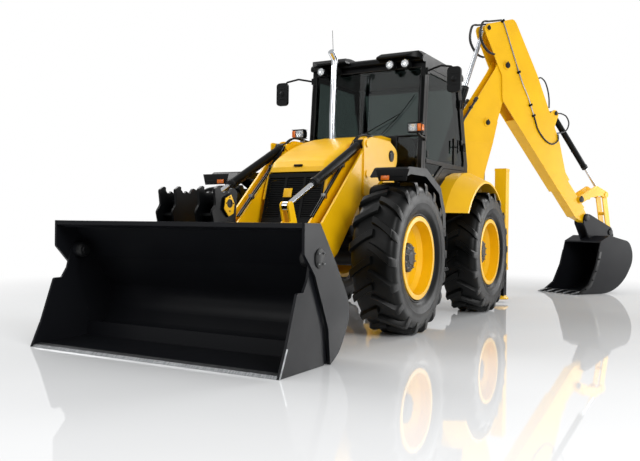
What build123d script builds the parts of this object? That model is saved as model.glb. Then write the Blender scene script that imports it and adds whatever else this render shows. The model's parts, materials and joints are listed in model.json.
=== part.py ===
from build123d import *
import os
from math import atan2, cos, degrees, hypot, radians, sin, tan

# Backhoe loader with four equal, steered wheels. Millimetres.
# X points forward, Y to the machine's left, Z up.
# Origin: on the ground, on the centreline, under the rear axle.

# Running gear
WHEELBASE = 2220
TYRE_RADIUS = 705          # out to the tips of the lugs
TYRE_WIDTH = 430
LUG_HEIGHT = 36
LUG_WIDTH = 62
LUGS_PER_SIDE = 18
HALF_TRACK = 970           # centreline to the middle of a tyre
RIM_RADIUS = 356
FLANGE_RADIUS = 385
HUB_RADIUS = 98
KINGPIN_Y = 760            # steering pins, from the centreline
AXLE_Z = TYRE_RADIUS

# Clearances
SEAT = 0.3                 # between pieces that sit on each other
FIT = 0.3                  # radial gap of a pin in its eye
GAP = 6                    # between pieces that pass each other

# Chassis
RAIL_Y = (300, 340)
ENGINE_HALF = 270
HOOD_HALF = 350

# Loader linkage in side view: (x, z) with the arms down
ARM_PIVOT = (1500, 1730)
LIFT_BASE = (1780, 500)
LIFT_PIN = (2100, 1506)
TILT_BASE = (2100, 1800)
LEVER_PIVOT = (3300, 800)
LEVER_TOP = (3425, 1152)
LINK_TOP = (3417, 987)
BUCKET_PIVOT = (3550, 330)
LINK_FOOT = (BUCKET_PIVOT[0] + LINK_TOP[0] - LEVER_PIVOT[0],
             BUCKET_PIVOT[1] + LINK_TOP[1] - LEVER_PIVOT[1])
ARM_Y = 455                # middle of a loader arm
ARM_GAP = 110              # clear gap between the two plates of an arm
ARM_PLATE = 20
LEVER_Y = (410, 425)       # the inner plate of a lever; the outer one mirrors it about ARM_Y
PIN_RADIUS = 30
RAM_EYE = 34               # half width of the rod eyes of the boom and dipper rams

# Front bucket
BUCKET_HALF = 1205
BUCKET_WALL = 22
CLAM_PIVOT = (4177, 767)

# Backhoe: stands on a kingpost behind the rear frame, slewed to the left
KINGPOST_X = -1400
SIDE_SHIFT = 200           # how far the carriage stands left of the centreline
SLEW = 147                 # heading of the boom, degrees from +X
# Pins in the plane of the boom: (distance from the kingpost axis, height)
BOOM_FOOT = (250, 900)
BOOM_RAM_BASE = (430, 640)
BOOM_RAM_PIN = (500, 2490)
DIPPER_PIVOT = (840, 3340)
DIPPER_RAM_BASE = (-260, 1820)
DIPPER_RAM_PIN = (490, 3835)
BUCKET_RAM_BASE = (1840, 2730)
BUCKET_RAM_FORK = 48       # half width between the two plates that hold the bucket ram
CRANK_PIVOT = (2360, 1440)
CRANK_END = (2900, 1530)
HOE_LINK_PIN = (3010, 940)
HOE_BUCKET_PIVOT = (2490, 1160)
DIPPER_ANGLE = -48.5       # direction of the dipper's tube, degrees from the horizontal
BOOM_HALF = 125
DIPPER_HALF = 105
BOOM_TIP_HALF = DIPPER_HALF - 12 - 5      # the boom's end stands between the dipper's cheeks
INNER_HALF = 85
HOE_BUCKET_HALF = 365

# Stabilisers
LEG_X = -1150
LEG_Y = 953
LEG_TUBE = 150
LEG_WALL = 12

# Cab
CAB_HALF = 710
CAB_WALL = 55
TUB_HALF = 520             # narrow lower part, between the rear wheels
CAB_FLOOR_Z = 1100
SHELF_Z = 1450             # where the body widens above the rear wheels
DOOR_THICK = 38


# Shapes
def spot(axis, across, a, b):
    """Point (a, b) on the plane that is square to the axis at the distance across."""
    return {"x": Vector(across, a, b), "y": Vector(a, across, b), "z": Vector(a, b, across)}[axis]


def face_of(corners, axis, across):
    """Flat face with the given corners; a corner (a, b, r) is rounded to the radius r."""
    points = [spot(axis, across, c[0], c[1]) for c in corners]
    turns = []
    for i, corner in enumerate(corners):
        here = points[i]
        if len(corner) < 3:
            turns.append((here, None, here))
            continue
        back = (points[i - 1] - here).normalized()
        ahead = (points[(i + 1) % len(points)] - here).normalized()
        half = radians(back.get_angle(ahead)) / 2
        run = corner[2] / tan(half)
        middle = here + (back + ahead).normalized() * (corner[2] / sin(half) - corner[2])
        turns.append((here + back * run, middle, here + ahead * run))
    edges = []
    for i, (start, middle, end) in enumerate(turns):
        before = turns[i - 1][2]
        if (start - before).length > 0.01:
            edges.append(Edge.make_line(before, start))
        if middle is not None:
            edges.append(Edge.make_three_point_arc(start, middle, end))
    return Face(Wire(edges))


def prism(corners, axis, start, end):
    """Solid between two distances along the axis, with the given outline."""
    return Solid.extrude(face_of(corners, axis, start), spot(axis, end - start, 0, 0))


def block(x, y, z):
    """Box between the limits (low, high) of each axis."""
    return prism([(x[0], y[0]), (x[1], y[0]), (x[1], y[1]), (x[0], y[1])], "z", z[0], z[1])


def bar(start, end, radius):
    """Round bar between two points."""
    start, end = Vector(*start), Vector(*end)
    return Solid.make_cylinder(radius, (end - start).length, Plane(origin=start, z_dir=end - start))


def cross_pin(at, y_from, y_to, radius):
    """Round bar along Y through the point (x, z)."""
    return bar((at[0], y_from, at[1]), (at[0], y_to, at[1]), radius)


def turned(profile, origin, direction):
    """Solid of revolution; profile corners are (radius, distance along the axis)."""
    face = face_of(profile, "y", 0)
    solid = Solid.revolve(face, 360, Axis.Z)
    return Plane(origin=Vector(*origin), z_dir=Vector(*direction)) * solid


def tube_path(points, bend, radius):
    """Round tube along straight runs joined by arcs."""
    path = FilletPolyline(*points, radius=bend)
    section = Plane(origin=path @ 0, z_dir=path % 0) * Circle(radius)
    return sweep(section, path=path)


def both_sides(solids):
    """The solids and their mirror images on the other side of the centreline."""
    solids = solids if isinstance(solids, list) else [solids]
    return solids + [mirror(s, about=Plane.XZ) for s in solids]


def about_arm(solid):
    """The solid and its mirror image about the middle of the left loader arm."""
    return [solid, mirror(solid, about=Plane.XZ.offset(-ARM_Y))]


def strap(a, b, ra, rb, y_from, y_to):
    """Plate in side view with a round end about each of two points (x, z)."""
    dx, dz = b[0] - a[0], b[1] - a[1]
    length = hypot(dx, dz)
    lean = atan2(dz, dx)
    side = Vector(-sin(lean), 0, cos(lean))
    # The sides are tangent to both rounds
    offset = (ra - rb) / length
    reach = (1 - offset * offset) ** 0.5
    along = Vector(cos(lean), 0, sin(lean))
    up, down = along * offset + side * reach, along * offset - side * reach
    pa, pb = Vector(a[0], y_from, a[1]), Vector(b[0], y_from, b[1])
    edges = [
        Edge.make_line(pa + up * ra, pb + up * rb),
        Edge.make_three_point_arc(pb + up * rb, pb + along * rb, pb + down * rb),
        Edge.make_line(pb + down * rb, pa + down * ra),
        Edge.make_three_point_arc(pa + down * ra, pa - along * ra, pa + up * ra),
    ]
    return Solid.extrude(Face(Wire(edges)), Vector(0, y_to - y_from, 0))


# Rams lie in a plane y = const; these two shapes serve every ram
def ram_barrel(base, tip, y, radius, base_half, closed):
    """Cylinder from its base eye, with a bore for the rod; closed is its length."""
    start, end = Vector(base[0], y, base[1]), Vector(tip[0], y, tip[1])
    along = (end - start).normalized()

    def piece(size, low, high):
        return Solid.make_cylinder(size, high - low, Plane(origin=start + along * low, z_dir=along))

    eye = cross_pin(base, y - base_half, y + base_half, radius + 4)
    barrel = eye + piece(radius, radius, closed) + piece(radius + 6, closed - 46, closed)
    barrel -= piece(radius - 9, radius + 20, closed - 40)
    barrel -= piece(radius * 0.6 + FIT, closed - 60, closed + 10)
    return barrel - cross_pin(base, y - 2 * base_half, y + 2 * base_half, PIN_RADIUS + FIT)


def ram_rod(base, tip, y, radius, tip_half, closed, extend):
    """Chromed rod with its piston inside the barrel; it can still come out by extend."""
    start, end = Vector(base[0], y, base[1]), Vector(tip[0], y, tip[1])
    along = (end - start).normalized()
    inside = closed - 130 - extend
    rod = Solid.make_cylinder(radius * 0.6, (end - start).length - inside,
                              Plane(origin=start + along * inside, z_dir=along))
    piston = Solid.make_cylinder(radius - 9 - FIT, 60, Plane(origin=start + along * inside, z_dir=along))
    eye = cross_pin(tip, y - tip_half, y + tip_half, radius)
    return rod + piston + eye - cross_pin(tip, y - 2 * tip_half, y + 2 * tip_half, PIN_RADIUS - 6)


# Wheels
def tyre(side):
    """Tyre on the left (side 1) or right (side -1), about the Y axis through its middle."""
    half = TYRE_WIDTH / 2
    base = TYRE_RADIUS - LUG_HEIGHT
    bead = RIM_RADIUS + 1.5
    left = [(bead, 160), (FLANGE_RADIUS + 4, 164), (470, half - 3), (600, half), (base, half - 34)]
    profile = left + [(r, -a) for r, a in reversed(left)]
    carcass = turned(profile, (0, 0, 0), (0, 1, 0))
    envelope = turned([(600, half - 8), (TYRE_RADIUS, half - 22), (TYRE_RADIUS, 22 - half), (600, 8 - half)],
                      (0, 0, 0), (0, 1, 0))
    lean, shoulder = 150, half + 10
    lug = prism([(-0.5 * LUG_WIDTH, -14), (0.5 * LUG_WIDTH, -14), (lean + 0.62 * LUG_WIDTH, shoulder),
                 (lean - 0.38 * LUG_WIDTH, shoulder)], "z", 600, TYRE_RADIUS + 60)
    other = mirror(lug, about=Plane.XZ)
    step = 360 / LUGS_PER_SIDE
    lugs = [Rot(0, i * step, 0) * lug for i in range(LUGS_PER_SIDE)]
    lugs += [Rot(0, (i + 0.5) * step, 0) * other for i in range(LUGS_PER_SIDE)]
    tread = [piece for lug_solid in lugs for piece in (lug_solid & envelope).solids()]
    whole = carcass.fuse(*tread)
    return whole if side > 0 else mirror(whole, about=Plane.XZ)


def rim(side):
    """Wheel rim with a dished disc and the planetary hub, about the Y axis; outer face at +Y."""
    barrel = [(RIM_RADIUS - 14, -158), (RIM_RADIUS - 14, -182), (FLANGE_RADIUS, -182),
              (FLANGE_RADIUS, -164.5),
              (RIM_RADIUS, -164.5), (RIM_RADIUS, 164.5), (FLANGE_RADIUS, 164.5), (FLANGE_RADIUS, 182),
              (RIM_RADIUS - 14, 182), (RIM_RADIUS - 14, 78), (300, 40), (130, 18),
              (130, 2), (310, 22), (RIM_RADIUS - 14, 44)]
    hub = [(0, -18), (128, -18), (130, 2), (130, 18), (HUB_RADIUS + 8, 20), (HUB_RADIUS, 28),
           (HUB_RADIUS, 92, 8), (62, 98), (0, 98)]
    wheel = turned(barrel, (0, 0, 0), (0, 1, 0)) + turned(hub, (0, 0, 0), (0, 1, 0))
    socket = bar((0, -40, 0), (0, 46, 0), 40 + FIT)
    wheel = wheel - socket
    return wheel if side > 0 else mirror(wheel, about=Plane.XZ)


def knuckle(side):
    """Steering knuckle about the origin of its kingpin; the spindle points outwards."""
    reach = HALF_TRACK - KINGPIN_Y - 18
    post = bar((0, 0, -94), (0, 0, 94), 46)
    spindle = bar((0, 0, 0), (0, reach - FIT, 0), 84)
    stub = bar((0, reach - 1, 0), (0, reach + 60, 0), 40)
    arm = prism([(-30, -20, 12), (-30, 80, 12), (-190, 20, 20), (-190, -30, 20)], "z", -30, 30)
    piece = post + spindle + stub + arm
    piece -= bar((0, 0, -120), (0, 0, 120), 22 + FIT)
    return piece if side > 0 else mirror(piece, about=Plane.XZ)


def axle_beam(x):
    """Steered axle: differential, tapered tubes and forks that hold the kingpins."""
    housing = turned([(0, -150), (100, -140), (140, -70), (146, 0), (140, 70), (100, 140), (0, 150)],
                     (x, 0, AXLE_Z), (1, 0, 0))
    tubes = [Solid.make_cone(105, 78, 620, Plane(origin=(x, s * 60, AXLE_Z), z_dir=(0, s, 0)))
             for s in (1, -1)]
    beam = housing.fuse(*tubes)
    for s in (1, -1):
        web = block((x - 70, x + 70), sorted((s * 610, s * 672)), (AXLE_Z - 128, AXLE_Z + 128))
        ears = [prism([(x - 60, s * 640), (x + 60, s * 640), (x + 50, s * (KINGPIN_Y + 45), 30),
                       (x - 50, s * (KINGPIN_Y + 45), 30)], "z", AXLE_Z + low, AXLE_Z + low + 34)
                for low in (-128.3, 94.3)]
        pin = bar((x, s * KINGPIN_Y, AXLE_Z - 132), (x, s * KINGPIN_Y, AXLE_Z + 132), 22)
        beam = beam.fuse(web, *ears, pin)
    return beam


# Chassis and body
def main_frame():
    rail_side = [(-1020, 560), (-1020, 1000), (2600, 1000, 40), (2700, 930, 30), (2700, 700),
                 (2520, 650, 60),
                 (2440, 900, 60), (2000, 900, 60), (1930, 560, 60), (320, 560, 60), (220, 880, 60),
                 (-220, 880, 60), (-320, 560, 60)]
    rails = both_sides(prism(rail_side, "y", *RAIL_Y))
    inner = RAIL_Y[0] + 1
    nose = prism([(2640, 690), (2700, 700), (2700, 930), (2640, 960)], "y", -inner, inner)
    crossings = [block((x, x + w), (-inner, inner), (z, z + h))
                 for x, w, z, h in ((980, 40, 560, 100), (-1020, 30, 560, 440))]
    saddle = [block((x - 60, x + 60), (-inner, inner), (AXLE_Z + 186, AXLE_Z + 246)) for x in (0, WHEELBASE)]
    tongue = prism([(2690, -120), (2745, -60, 30), (2800, -60, 55), (2800, 60, 55), (2745, 60, 30),
                    (2690, 120)],
                   "z", 770, 810) - bar((2745, 0, 760), (2745, 0, 820), 22)
    return [rails[0].fuse(rails[1], nose, tongue, *crossings, *saddle)]


def loader_towers():
    """Posts that stand between the two plates of each arm, with the lift rams' lower brackets."""
    x, z = ARM_PIVOT
    half = ARM_GAP / 2 - 5
    wide = (ARM_Y - 63, ARM_Y + 63)
    bx, bz = LIFT_BASE
    back = bx - 118
    post = prism([(x - 220, 940), (back + 38, 940), (back + 38, 1040), (x + 95, z, 95), (x + 60, z + 95, 60),
                  (x - 60, z + 95, 60), (x - 95, z, 95), (x - 220, 1040)], "y", ARM_Y - half, ARM_Y + half)
    foot = block((x - 220, back + 38), (RAIL_Y[1], wide[1]), (840, 960))
    plate = block((back, back + 38), (RAIL_Y[1], wide[1]), (560, 900))
    pieces = [foot, plate, cross_pin(ARM_PIVOT, ARM_Y - 85, ARM_Y + 85, 38)]
    for y in (wide[0], wide[1] - 14):
        pieces.append(prism([(back, bz + 60), (bx - 50, bz - 60, 50), (bx + 60, bz - 60, 50),
                             (bx + 70, bz + 60, 55),
                             (back + 38, 940), (back, 940)], "y", y, y + 14))
    pieces.append(cross_pin(LIFT_BASE, wide[0] - 8, wide[1] + 8, PIN_RADIUS))
    return both_sides(post.fuse(*pieces))


def engine_block():
    """Engine and gearbox as one plain mass, on mounts between the rails."""
    side = [(1060, 620), (1400, 560), (1800, 600), (1900, 1010), (2380, 1010), (2380, 1380), (2200, 1420),
            (1640, 1400), (1560, 1080), (1060, 1040)]
    engine = prism(side, "y", -ENGINE_HALF, ENGINE_HALF)
    mounts = [block((x, x + 90), sorted((s * (ENGINE_HALF - 1), s * (RAIL_Y[0] - SEAT))), (760, 860))
              for x in (1100, 1700) for s in (1, -1)]
    return [engine.fuse(*mounts)]


def axles():
    shaft = bar((WHEELBASE - 149, 0, AXLE_Z), (1839.3, 0, AXLE_Z + 20), 34)
    front, rear = axle_beam(WHEELBASE), axle_beam(0)
    tail = bar((149, 0, AXLE_Z), (1059.5, 0, AXLE_Z), 34)
    pads = [block((x - 58, x + 58), (-90, 90), (AXLE_Z + 130, AXLE_Z + 186 - SEAT)) for x in (0, WHEELBASE)]
    return [front.fuse(pads[1], shaft), rear.fuse(pads[0], tail)]


def engine_panels():
    """Cowl between hood and windscreen, and the fixed lower side panels."""
    top = prism([(1112, 1500), (1112, 1965), (1370, 1968, 30), (1507, 1940), (1507, 1500)], "y", -HOOD_HALF,
                HOOD_HALF)
    hollow = prism([(1130, 1480), (1130, 1940), (1360, 1946), (1520, 1915), (1520, 1480)], "y",
                   16 - HOOD_HALF, HOOD_HALF - 16)
    stack_hole = bar((1457, -200, 1800), (1457, -200, 2000), 46)
    cowl = top - hollow - stack_hole
    side = prism([(1112, 1000.3), (1112, 1500), (1507, 1500), (1507, 1236), (2560, 1236), (2590, 1000.3)],
                 "y", HOOD_HALF - 18, HOOD_HALF)
    return [cowl.fuse(*both_sides(side))]


HOOD_SIDE = [(1515, 1242), (1515, 1943), (1700, 1915), (1880, 1872), (2060, 1815), (2240, 1742),
             (2380, 1672),
             (2460, 1620), (2500, 1560), (2512, 1500), (2590, 1242)]


def hood():
    outer = prism(HOOD_SIDE, "y", -HOOD_HALF, HOOD_HALF)
    long_edges = [e for e in outer.edges() if abs(e.center().Y) > HOOD_HALF - 10 and e.center().Z > 1560
                  and abs((e % 0.5).X) > 0.3]
    outer = outer.fillet(80, long_edges)
    inner = prism([(1490, 1190), (1490, 1928), (1780, 1880), (2040, 1802), (2250, 1712), (2430, 1600),
                   (2480, 1500), (2565, 1190)], "y", 78 - HOOD_HALF, HOOD_HALF - 78)
    inner = inner.fuse(prism([(1490, 1190), (1490, 1862), (1780, 1814), (2040, 1740), (2250, 1649),
                              (2390, 1560),
                              (2430, 1500), (2545, 1190)], "y", 15 - HOOD_HALF, HOOD_HALF - 15))
    mouth = block((2380, 2700), (-318, 318), (1100, 1512))
    return [outer - inner - mouth]


def grille():
    """Leaning dark grille: a frame with three windows, each full of fine level slats."""
    width, low, high = 316, 1000, 1506
    frame = block((-34, -8), (-width, width), (low, high))
    windows = [(-300, -118), (-91, 91), (118, 300)]
    pieces = []
    for y0, y1 in windows:
        frame -= block((-60, 20), (y0, y1), (low + 50, high - 46))
    for y0, y1 in windows:
        for i in range(22):
            z = low + 54 + i * 18.4
            pieces.append(block((-28, -12), (y0 - 1, y1 + 1), (z, z + 10)))
    frame = frame.fuse(*pieces)
    core = block((-110, -62), (-width + 8, width - 8), (low + 20, high - 60))
    hangers = [block((-64, -30), (y - 6, y + 6), (low + 60, low + 120)) for y in (-306, 306)]
    frame = frame.fuse(core, *hangers)
    lean = degrees(atan2(140, 480))
    return [Pos(2512 + 22, 0, 1500) * Rot(0, -lean, 0) * Pos(0, 0, -1506) * frame]


def exhaust_stack():
    pipe = tube_path([(1457, -200, 1600), (1457, -200, 2200), (1424, -200, 2760), (1424, -200, 2835),
                      (1510, -200, 2900)], 55, 36)
    bore = bar((1424, -200, 2780), (1424, -200, 2830), 20)
    shield = bar((1457, -200, 1560), (1457, -200, 1790), 60)
    return [pipe + shield - bore]


# Cab
SCREEN_HALF = 664
SCREEN_TOP = 2752
CAB_SIDE = [(1085, 1100), (1108, 1700), (1015, 2800), (-130, 2800), (-440, 1770), (-440, 1100)]
DOOR_SIDE = [(1015, 1150, 20), (1038, 1700, 40), (952, 2748, 40), (-72, 2748, 60), (-352, 1815, 60),
             (-330, 1690, 30),
             (420, 1672, 60), (700, 1500, 200), (822, 1240, 80), (828, 1150, 20)]


def scaled_door(inset, y0, y1):
    """Door outline pulled in by a constant distance."""
    face = face_of([(c[0], c[1]) for c in DOOR_SIDE], "y", y0)
    wire = face.outer_wire().offset_2d(-inset) if inset else face.outer_wire()
    return Solid.extrude(Face(wire), Vector(0, y1 - y0, 0))


def cab_shell():
    w = CAB_WALL
    upper = prism([(1108, SHELF_Z), (1108, 1700), (1015, 2800), (-130, 2800), (-440, 1770), (-440, SHELF_Z)],
                  "y", -CAB_HALF, CAB_HALF)
    front = prism([(1085, CAB_FLOOR_Z), (1108, SHELF_Z), (800, SHELF_Z), (800, CAB_FLOOR_Z)],
                  "y", -CAB_HALF, CAB_HALF)
    tub = block((-440, 1085), (-TUB_HALF, TUB_HALF), (CAB_FLOOR_Z, SHELF_Z + 1))
    outer = upper.fuse(front, tub)
    room = prism([(1108 - w, SHELF_Z + 30), (1108 - w, 1700), (1015 - w, 2800 - w), (-130 + w, 2800 - w),
                  (-440 + w, 1770), (-440 + w, SHELF_Z + 30)], "y", -CAB_HALF + w, CAB_HALF - w)
    low_front = prism([(1085 - w, CAB_FLOOR_Z + 30), (1085 - w, SHELF_Z + 40), (830, SHELF_Z + 40),
                       (830, CAB_FLOOR_Z + 30)], "y", -CAB_HALF + w, CAB_HALF - w)
    well = block((-440 + w, 1085 - w), (30 - TUB_HALF, TUB_HALF - 30), (CAB_FLOOR_Z + 30, SHELF_Z + 40))
    shell = outer - room.fuse(low_front, well)
    windscreen = block((900, 1200), (-SCREEN_HALF, SCREEN_HALF), (1990, SCREEN_TOP))
    quarter = [block((900, 1200), sorted((s * 400, s * SCREEN_HALF)), (1560, 1990)) for s in (1, -1)]
    rear_window = block((-600, 100), (-600, 600), (1830, 2690))
    shell = shell - windscreen - rear_window
    for piece in quarter:
        shell -= piece
    for side in (1, -1):
        opening = scaled_door(0, 600 * side, 800 * side)
        shell -= opening
    return [shell]


def door(side):
    """Full-height door frame in the plane of the cab's side."""
    y1 = CAB_HALF * side
    y0 = (CAB_HALF - DOOR_THICK) * side
    panel = scaled_door(GAP, y0, y1)
    window = scaled_door(GAP + 42, y0 - 30 * side, y1 + 30 * side)
    handle = bar((30, (CAB_HALF - 4) * side, 1960), (30, (CAB_HALF + 40) * side, 1960), 9)
    grip = bar((30, (CAB_HALF + 36) * side, 1880), (30, (CAB_HALF + 36) * side, 2040), 10)
    bridge = prism([(-330, 1700), (960, 1700), (960, 1742), (-330, 1742)], "y", y0, y1)
    frame = (panel - window).fuse(bridge & scaled_door(GAP, y0, y1))
    mount = block((10, 50), sorted(((CAB_HALF - DOOR_THICK + 4) * side, (CAB_HALF - 4) * side)),
                  (1740, 2060))
    return [frame.fuse(mount, handle, grip)]


def door_glass(side):
    middle = (CAB_HALF - DOOR_THICK / 2) * side
    pane = scaled_door(GAP + 42 + SEAT, middle - 3, middle + 3)
    cut_y = sorted((middle - 10, middle + 10))
    pane -= block((-500, 1200), cut_y, (1700 - SEAT, 1742 + SEAT))
    pane -= block((10 - SEAT, 50 + SEAT), cut_y, (1735, 2060 + SEAT))
    return [pane]


def cab_glass():
    def front_x(z):
        return 1108 - 93 * (z - 1700) / 1100

    def pane(z0, z1, y0, y1):
        return prism([(front_x(z0) - 30, z0), (front_x(z0) - 24, z0), (front_x(z1) - 24, z1),
                      (front_x(z1) - 30, z1)], "y", y0, y1)
    s = SEAT
    panes = [pane(1990 + s, SCREEN_TOP - s, -SCREEN_HALF + s, SCREEN_HALF - s)]
    panes += [pane(1560 + s, 1990 - s - 0.4, *sorted((k * (400 + s), k * (SCREEN_HALF - s))))
              for k in (1, -1)]

    def rear_x(z):
        return -440 + 310 / 1030 * (z - 1770)

    panes.append(prism([(rear_x(1830 + s) + 24, 1830 + s), (rear_x(1830 + s) + 30, 1830 + s),
                        (rear_x(2690 - s) + 30, 2690 - s), (rear_x(2690 - s) + 24, 2690 - s)],
                       "y", -600 + s, 600 - s))
    return panes


ROOF_HOOD = (190, 704)      # across, from the inner to the outer side of a raised part


def cab_roof():
    """Roof with a raised, rounded hood over each pair of front lamps."""
    lid = prism([(1090, 2800 + SEAT, 20), (1080, 2860, 40), (990, 2890, 60), (-180, 2890, 60),
                 (-270, 2850, 30),
                 (-260, 2800 + SEAT, 20)], "y", -CAB_HALF + 6, CAB_HALF - 6)
    hoods = []
    for s in (1, -1):
        y0, y1 = sorted((s * ROOF_HOOD[0], s * ROOF_HOOD[1]))
        length = prism([(1060, 2800 + SEAT), (1110, 2834, 20), (1180, 2838, 12), (1192, 2856, 12),
                        (1130, 2904, 90), (900, 2942, 400), (-120, 2926, 300), (-268, 2840, 40),
                        (-260, 2800 + SEAT)], "y", y0, y1)
        width = prism([(y0, 2790), (y1, 2790), (y1, 2862, 60), (y1 - 90, 2955, 80), (y0 + 90, 2955, 80),
                       (y0, 2862, 60)], "x", -400, 1300)
        plan = prism([(-400, 0), (1192, 0), (1192, s * ROOF_HOOD[1], 200), (-400, s * ROOF_HOOD[1])], "z",
                     2700, 3000)
        hoods.append(length & width & plan)
    return [lid.fuse(*hoods)]


def cab_interior():
    """Swivel seat, steering column with its wheel, and the backhoe's lever consoles."""
    z = CAB_FLOOR_Z + 30
    base = block((160, 480), (-160, 160), (z, 1440))
    cushion = prism([(80, 1420), (90, 1520, 40), (560, 1545, 50), (560, 1430, 20)], "y", -240, 240)
    back = prism([(70, 1500), (-60, 2080, 40), (30, 2110, 40), (190, 1520, 20)], "y", -230, 230)
    seat = base.fuse(cushion, back)
    rests = [block((120, 440), (s * 275 - 35, s * 275 + 35), (1640, 1690)) for s in (1, -1)]
    stalks = [block((150, 200), (s * 240 - 45, s * 240 + 45), (1600, 1645)) for s in (1, -1)]
    seat = seat.fuse(*rests, *stalks)
    column = prism([(880, z), (1020, z), (900, 1660), (820, 1640)], "y", -55, 55)
    wheel_plane = Plane(origin=(800, 0, 1720), z_dir=(-0.5, 0, 0.86))
    ring = wheel_plane * Solid.make_torus(185, 15)
    spokes = [wheel_plane * Rot(0, 0, a) * block((0, 185), (-14, 14), (-8, 8)) for a in (90, 210, 330)]
    neck = bar((860, 0, 1630), (800, 0, 1720), 24)
    steering = column.fuse(neck, ring, *spokes)
    consoles = [block((-300, -60), sorted((s * 200, s * 440)), (z, 1600)) for s in (1, -1)]
    levers = [bar((-180, s * 320, 1590), (-190, s * 320, 1760), 9) for s in (1, -1)]
    knobs = [Pos(-191, s * 320, 1775) * Solid.make_sphere(24, Plane.XY, -90, 90) for s in (1, -1)]
    pods = [consoles[i].fuse(levers[i], knobs[i]) for i in (0, 1)]
    return [seat, steering] + pods


def front_fenders():
    """Flat-topped guards over the rear half of each front wheel."""
    skin = prism([(2502, 1438), (2508, 1444), (2400, 1540, 90), (1960, 1552, 60), (1560, 1388, 80),
                  (1418, 1130, 60), (1398, 900), (1408, 900), (1428, 1128, 52), (1567, 1380, 72),
                  (1962, 1543, 52), (2396, 1531, 82)], "y", 780, 1100)
    lips = []
    for y0, y1 in ((772, 780.5), (1099.5, 1108)):
        lips.append(prism([(2470, 1438), (2508, 1444), (2400, 1540, 90), (1960, 1552, 60), (1560, 1388, 80),
                           (1418, 1130, 60), (1398, 900), (1470, 900), (1500, 1110, 60), (1610, 1330, 60),
                           (1970, 1475, 60), (2340, 1475, 60)], "y", y0, y1))
    bracket = block((1335, 1400), (ARM_Y + 63 + SEAT, 800), (880, 950))
    stay = block((1335, 1402), (780, 860), (880, 1010))
    return both_sides(skin.fuse(*lips, bracket, stay))


def rear_fenders():
    """Arched guards round the rear wheels, lower at their outer edge."""
    profile = [(940, 728), (940, 880), (832, 1108), (808, 1112), (806, 1100), (824, 1098), (930, 872),
               (930, 728)]
    ring = turned(profile, (0, 0, AXLE_Z), (0, 1, 0))
    wedge = prism([(0, AXLE_Z), (1200, 1120), (1200, 2000), (-900, 2000), (-900, AXLE_Z + 900)], "y", 700,
                  1150)
    guard = (ring & wedge).solids()[0]
    keep = block((-1000, 1000), (700, 1150), (1150, 1800))
    guard = (guard & keep).solids()[0]
    shelf = block((-300, 500), (CAB_HALF + SEAT, 745), (1560, 1600)) & turned(
        [(0, 700), (936, 700), (936, 760), (0, 760)], (0, 0, AXLE_Z), (0, 1, 0))
    return both_sides(guard.fuse(*shelf.solids()))


def side_tanks():
    """Tanks between the wheels, with two treads to climb into the cab."""
    tank = prism([(860, 560, 30), (860, 990, 30), (1270, 990, 30), (1270, 560, 30)], "y", RAIL_Y[1], 700)
    treads = []
    for z, reach in ((905, 930), (520, 960)):
        treads.append(block((890, 1250), (700 - 1, reach), (z, z + 28)))
    hangers = [block((x, x + 12), (690, 940), (520, 930)) for x in (895, 1233)]
    return both_sides(tank.fuse(*treads, *hangers))


def rear_frame():
    """Plate and slide rails that carry the backhoe, with the upright tubes of the stabilisers."""
    plate = block((-1045, -1020.3), (-870, 870), (420, 1240))
    window = [prism([(y0, 640, 40), (y1, 640, 40), (y1, 1020, 40), (y0, 1020, 40)], "x", -1100, -1000)
              for y0, y1 in ((-760, -400), (-260, 260), (400, 760))]
    for hole in window:
        plate -= hole
    rails = [block((-1113, -1044), (-872, 872), z) for z in ((450, 540), (1100, 1190))]
    frame = plate.fuse(*rails)
    half = LEG_TUBE / 2
    for s in (1, -1):
        y = s * LEG_Y
        tube = block((LEG_X - half, LEG_X + half), (y - half, y + half), (430, 1775))
        bore = block((LEG_X - half + LEG_WALL, LEG_X + half - LEG_WALL),
                     (y - half + LEG_WALL, y + half - LEG_WALL), (400, 1760))
        wing = block((-1113, -1020.3), sorted((s * 860, s * (LEG_Y - half + 1))), (430, 1230))
        frame = frame.fuse(tube - bore, wing - bore)
    return [frame]


def stabiliser_leg(side):
    half = LEG_TUBE / 2 - LEG_WALL - 0.5
    y = side * LEG_Y
    leg = block((LEG_X - half, LEG_X + half), (y - half, y + half), (90, 1400))
    foot = turned([(0, 45), (104, 45), (104, 62, 6), (60, 96), (0, 96)], (LEG_X, y, 0), (0, 0, 1))
    return [leg + foot]


def lamps_and_mirrors():
    pieces = []
    roof = cab_roof()[0]
    header = prism([(1032 + SEAT, 2600), (1006 + SEAT, 2907), (800, 2907), (800, 2600)], "y", -800, 800)
    for y in (-525, -345, 345, 525):
        pod = turned([(0, 0), (20, 0), (48, 70, 20), (48, 148), (0, 148)], (1002, y, 2770), (1, 0, 0))
        pieces.append(pod - Pos(0, 0, -SEAT) * roof - header)
    for s in (1, -1):
        arm = tube_path([(990, s * 722, 2700), (1040, s * 900, 2735), (1090, s * 1040, 2700),
                         (1110, s * 1070, 2560)], 40, 11)
        back = prism([(s * 1000, 2420, 40), (s * 1150, 2420, 40), (s * 1150, 2690, 40),
                      (s * 1000, 2690, 40)],
                     "x", 1095, 1135)
        foot = block((962, 1012), sorted((s * (CAB_HALF + SEAT), s * (CAB_HALF + 26))), (2665, 2735))
        pieces.append(arm.fuse(back, foot))
        stalk = tube_path([(1052, s * 726, 1960), (1180, s * 730, 1965), (1290, s * 730, 2000)], 40, 13)
        base = block((1030, 1074), sorted((s * (CAB_HALF + SEAT), s * (CAB_HALF + 30))), (1930, 1990))
        lamp = prism([(s * 640, 1995, 30), (s * 800, 1995, 30), (s * 800, 2090, 30), (s * 640, 2090, 30)],
                     "x", 1262, 1332)
        pieces.append(stalk.fuse(base, lamp))
    return pieces


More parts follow.
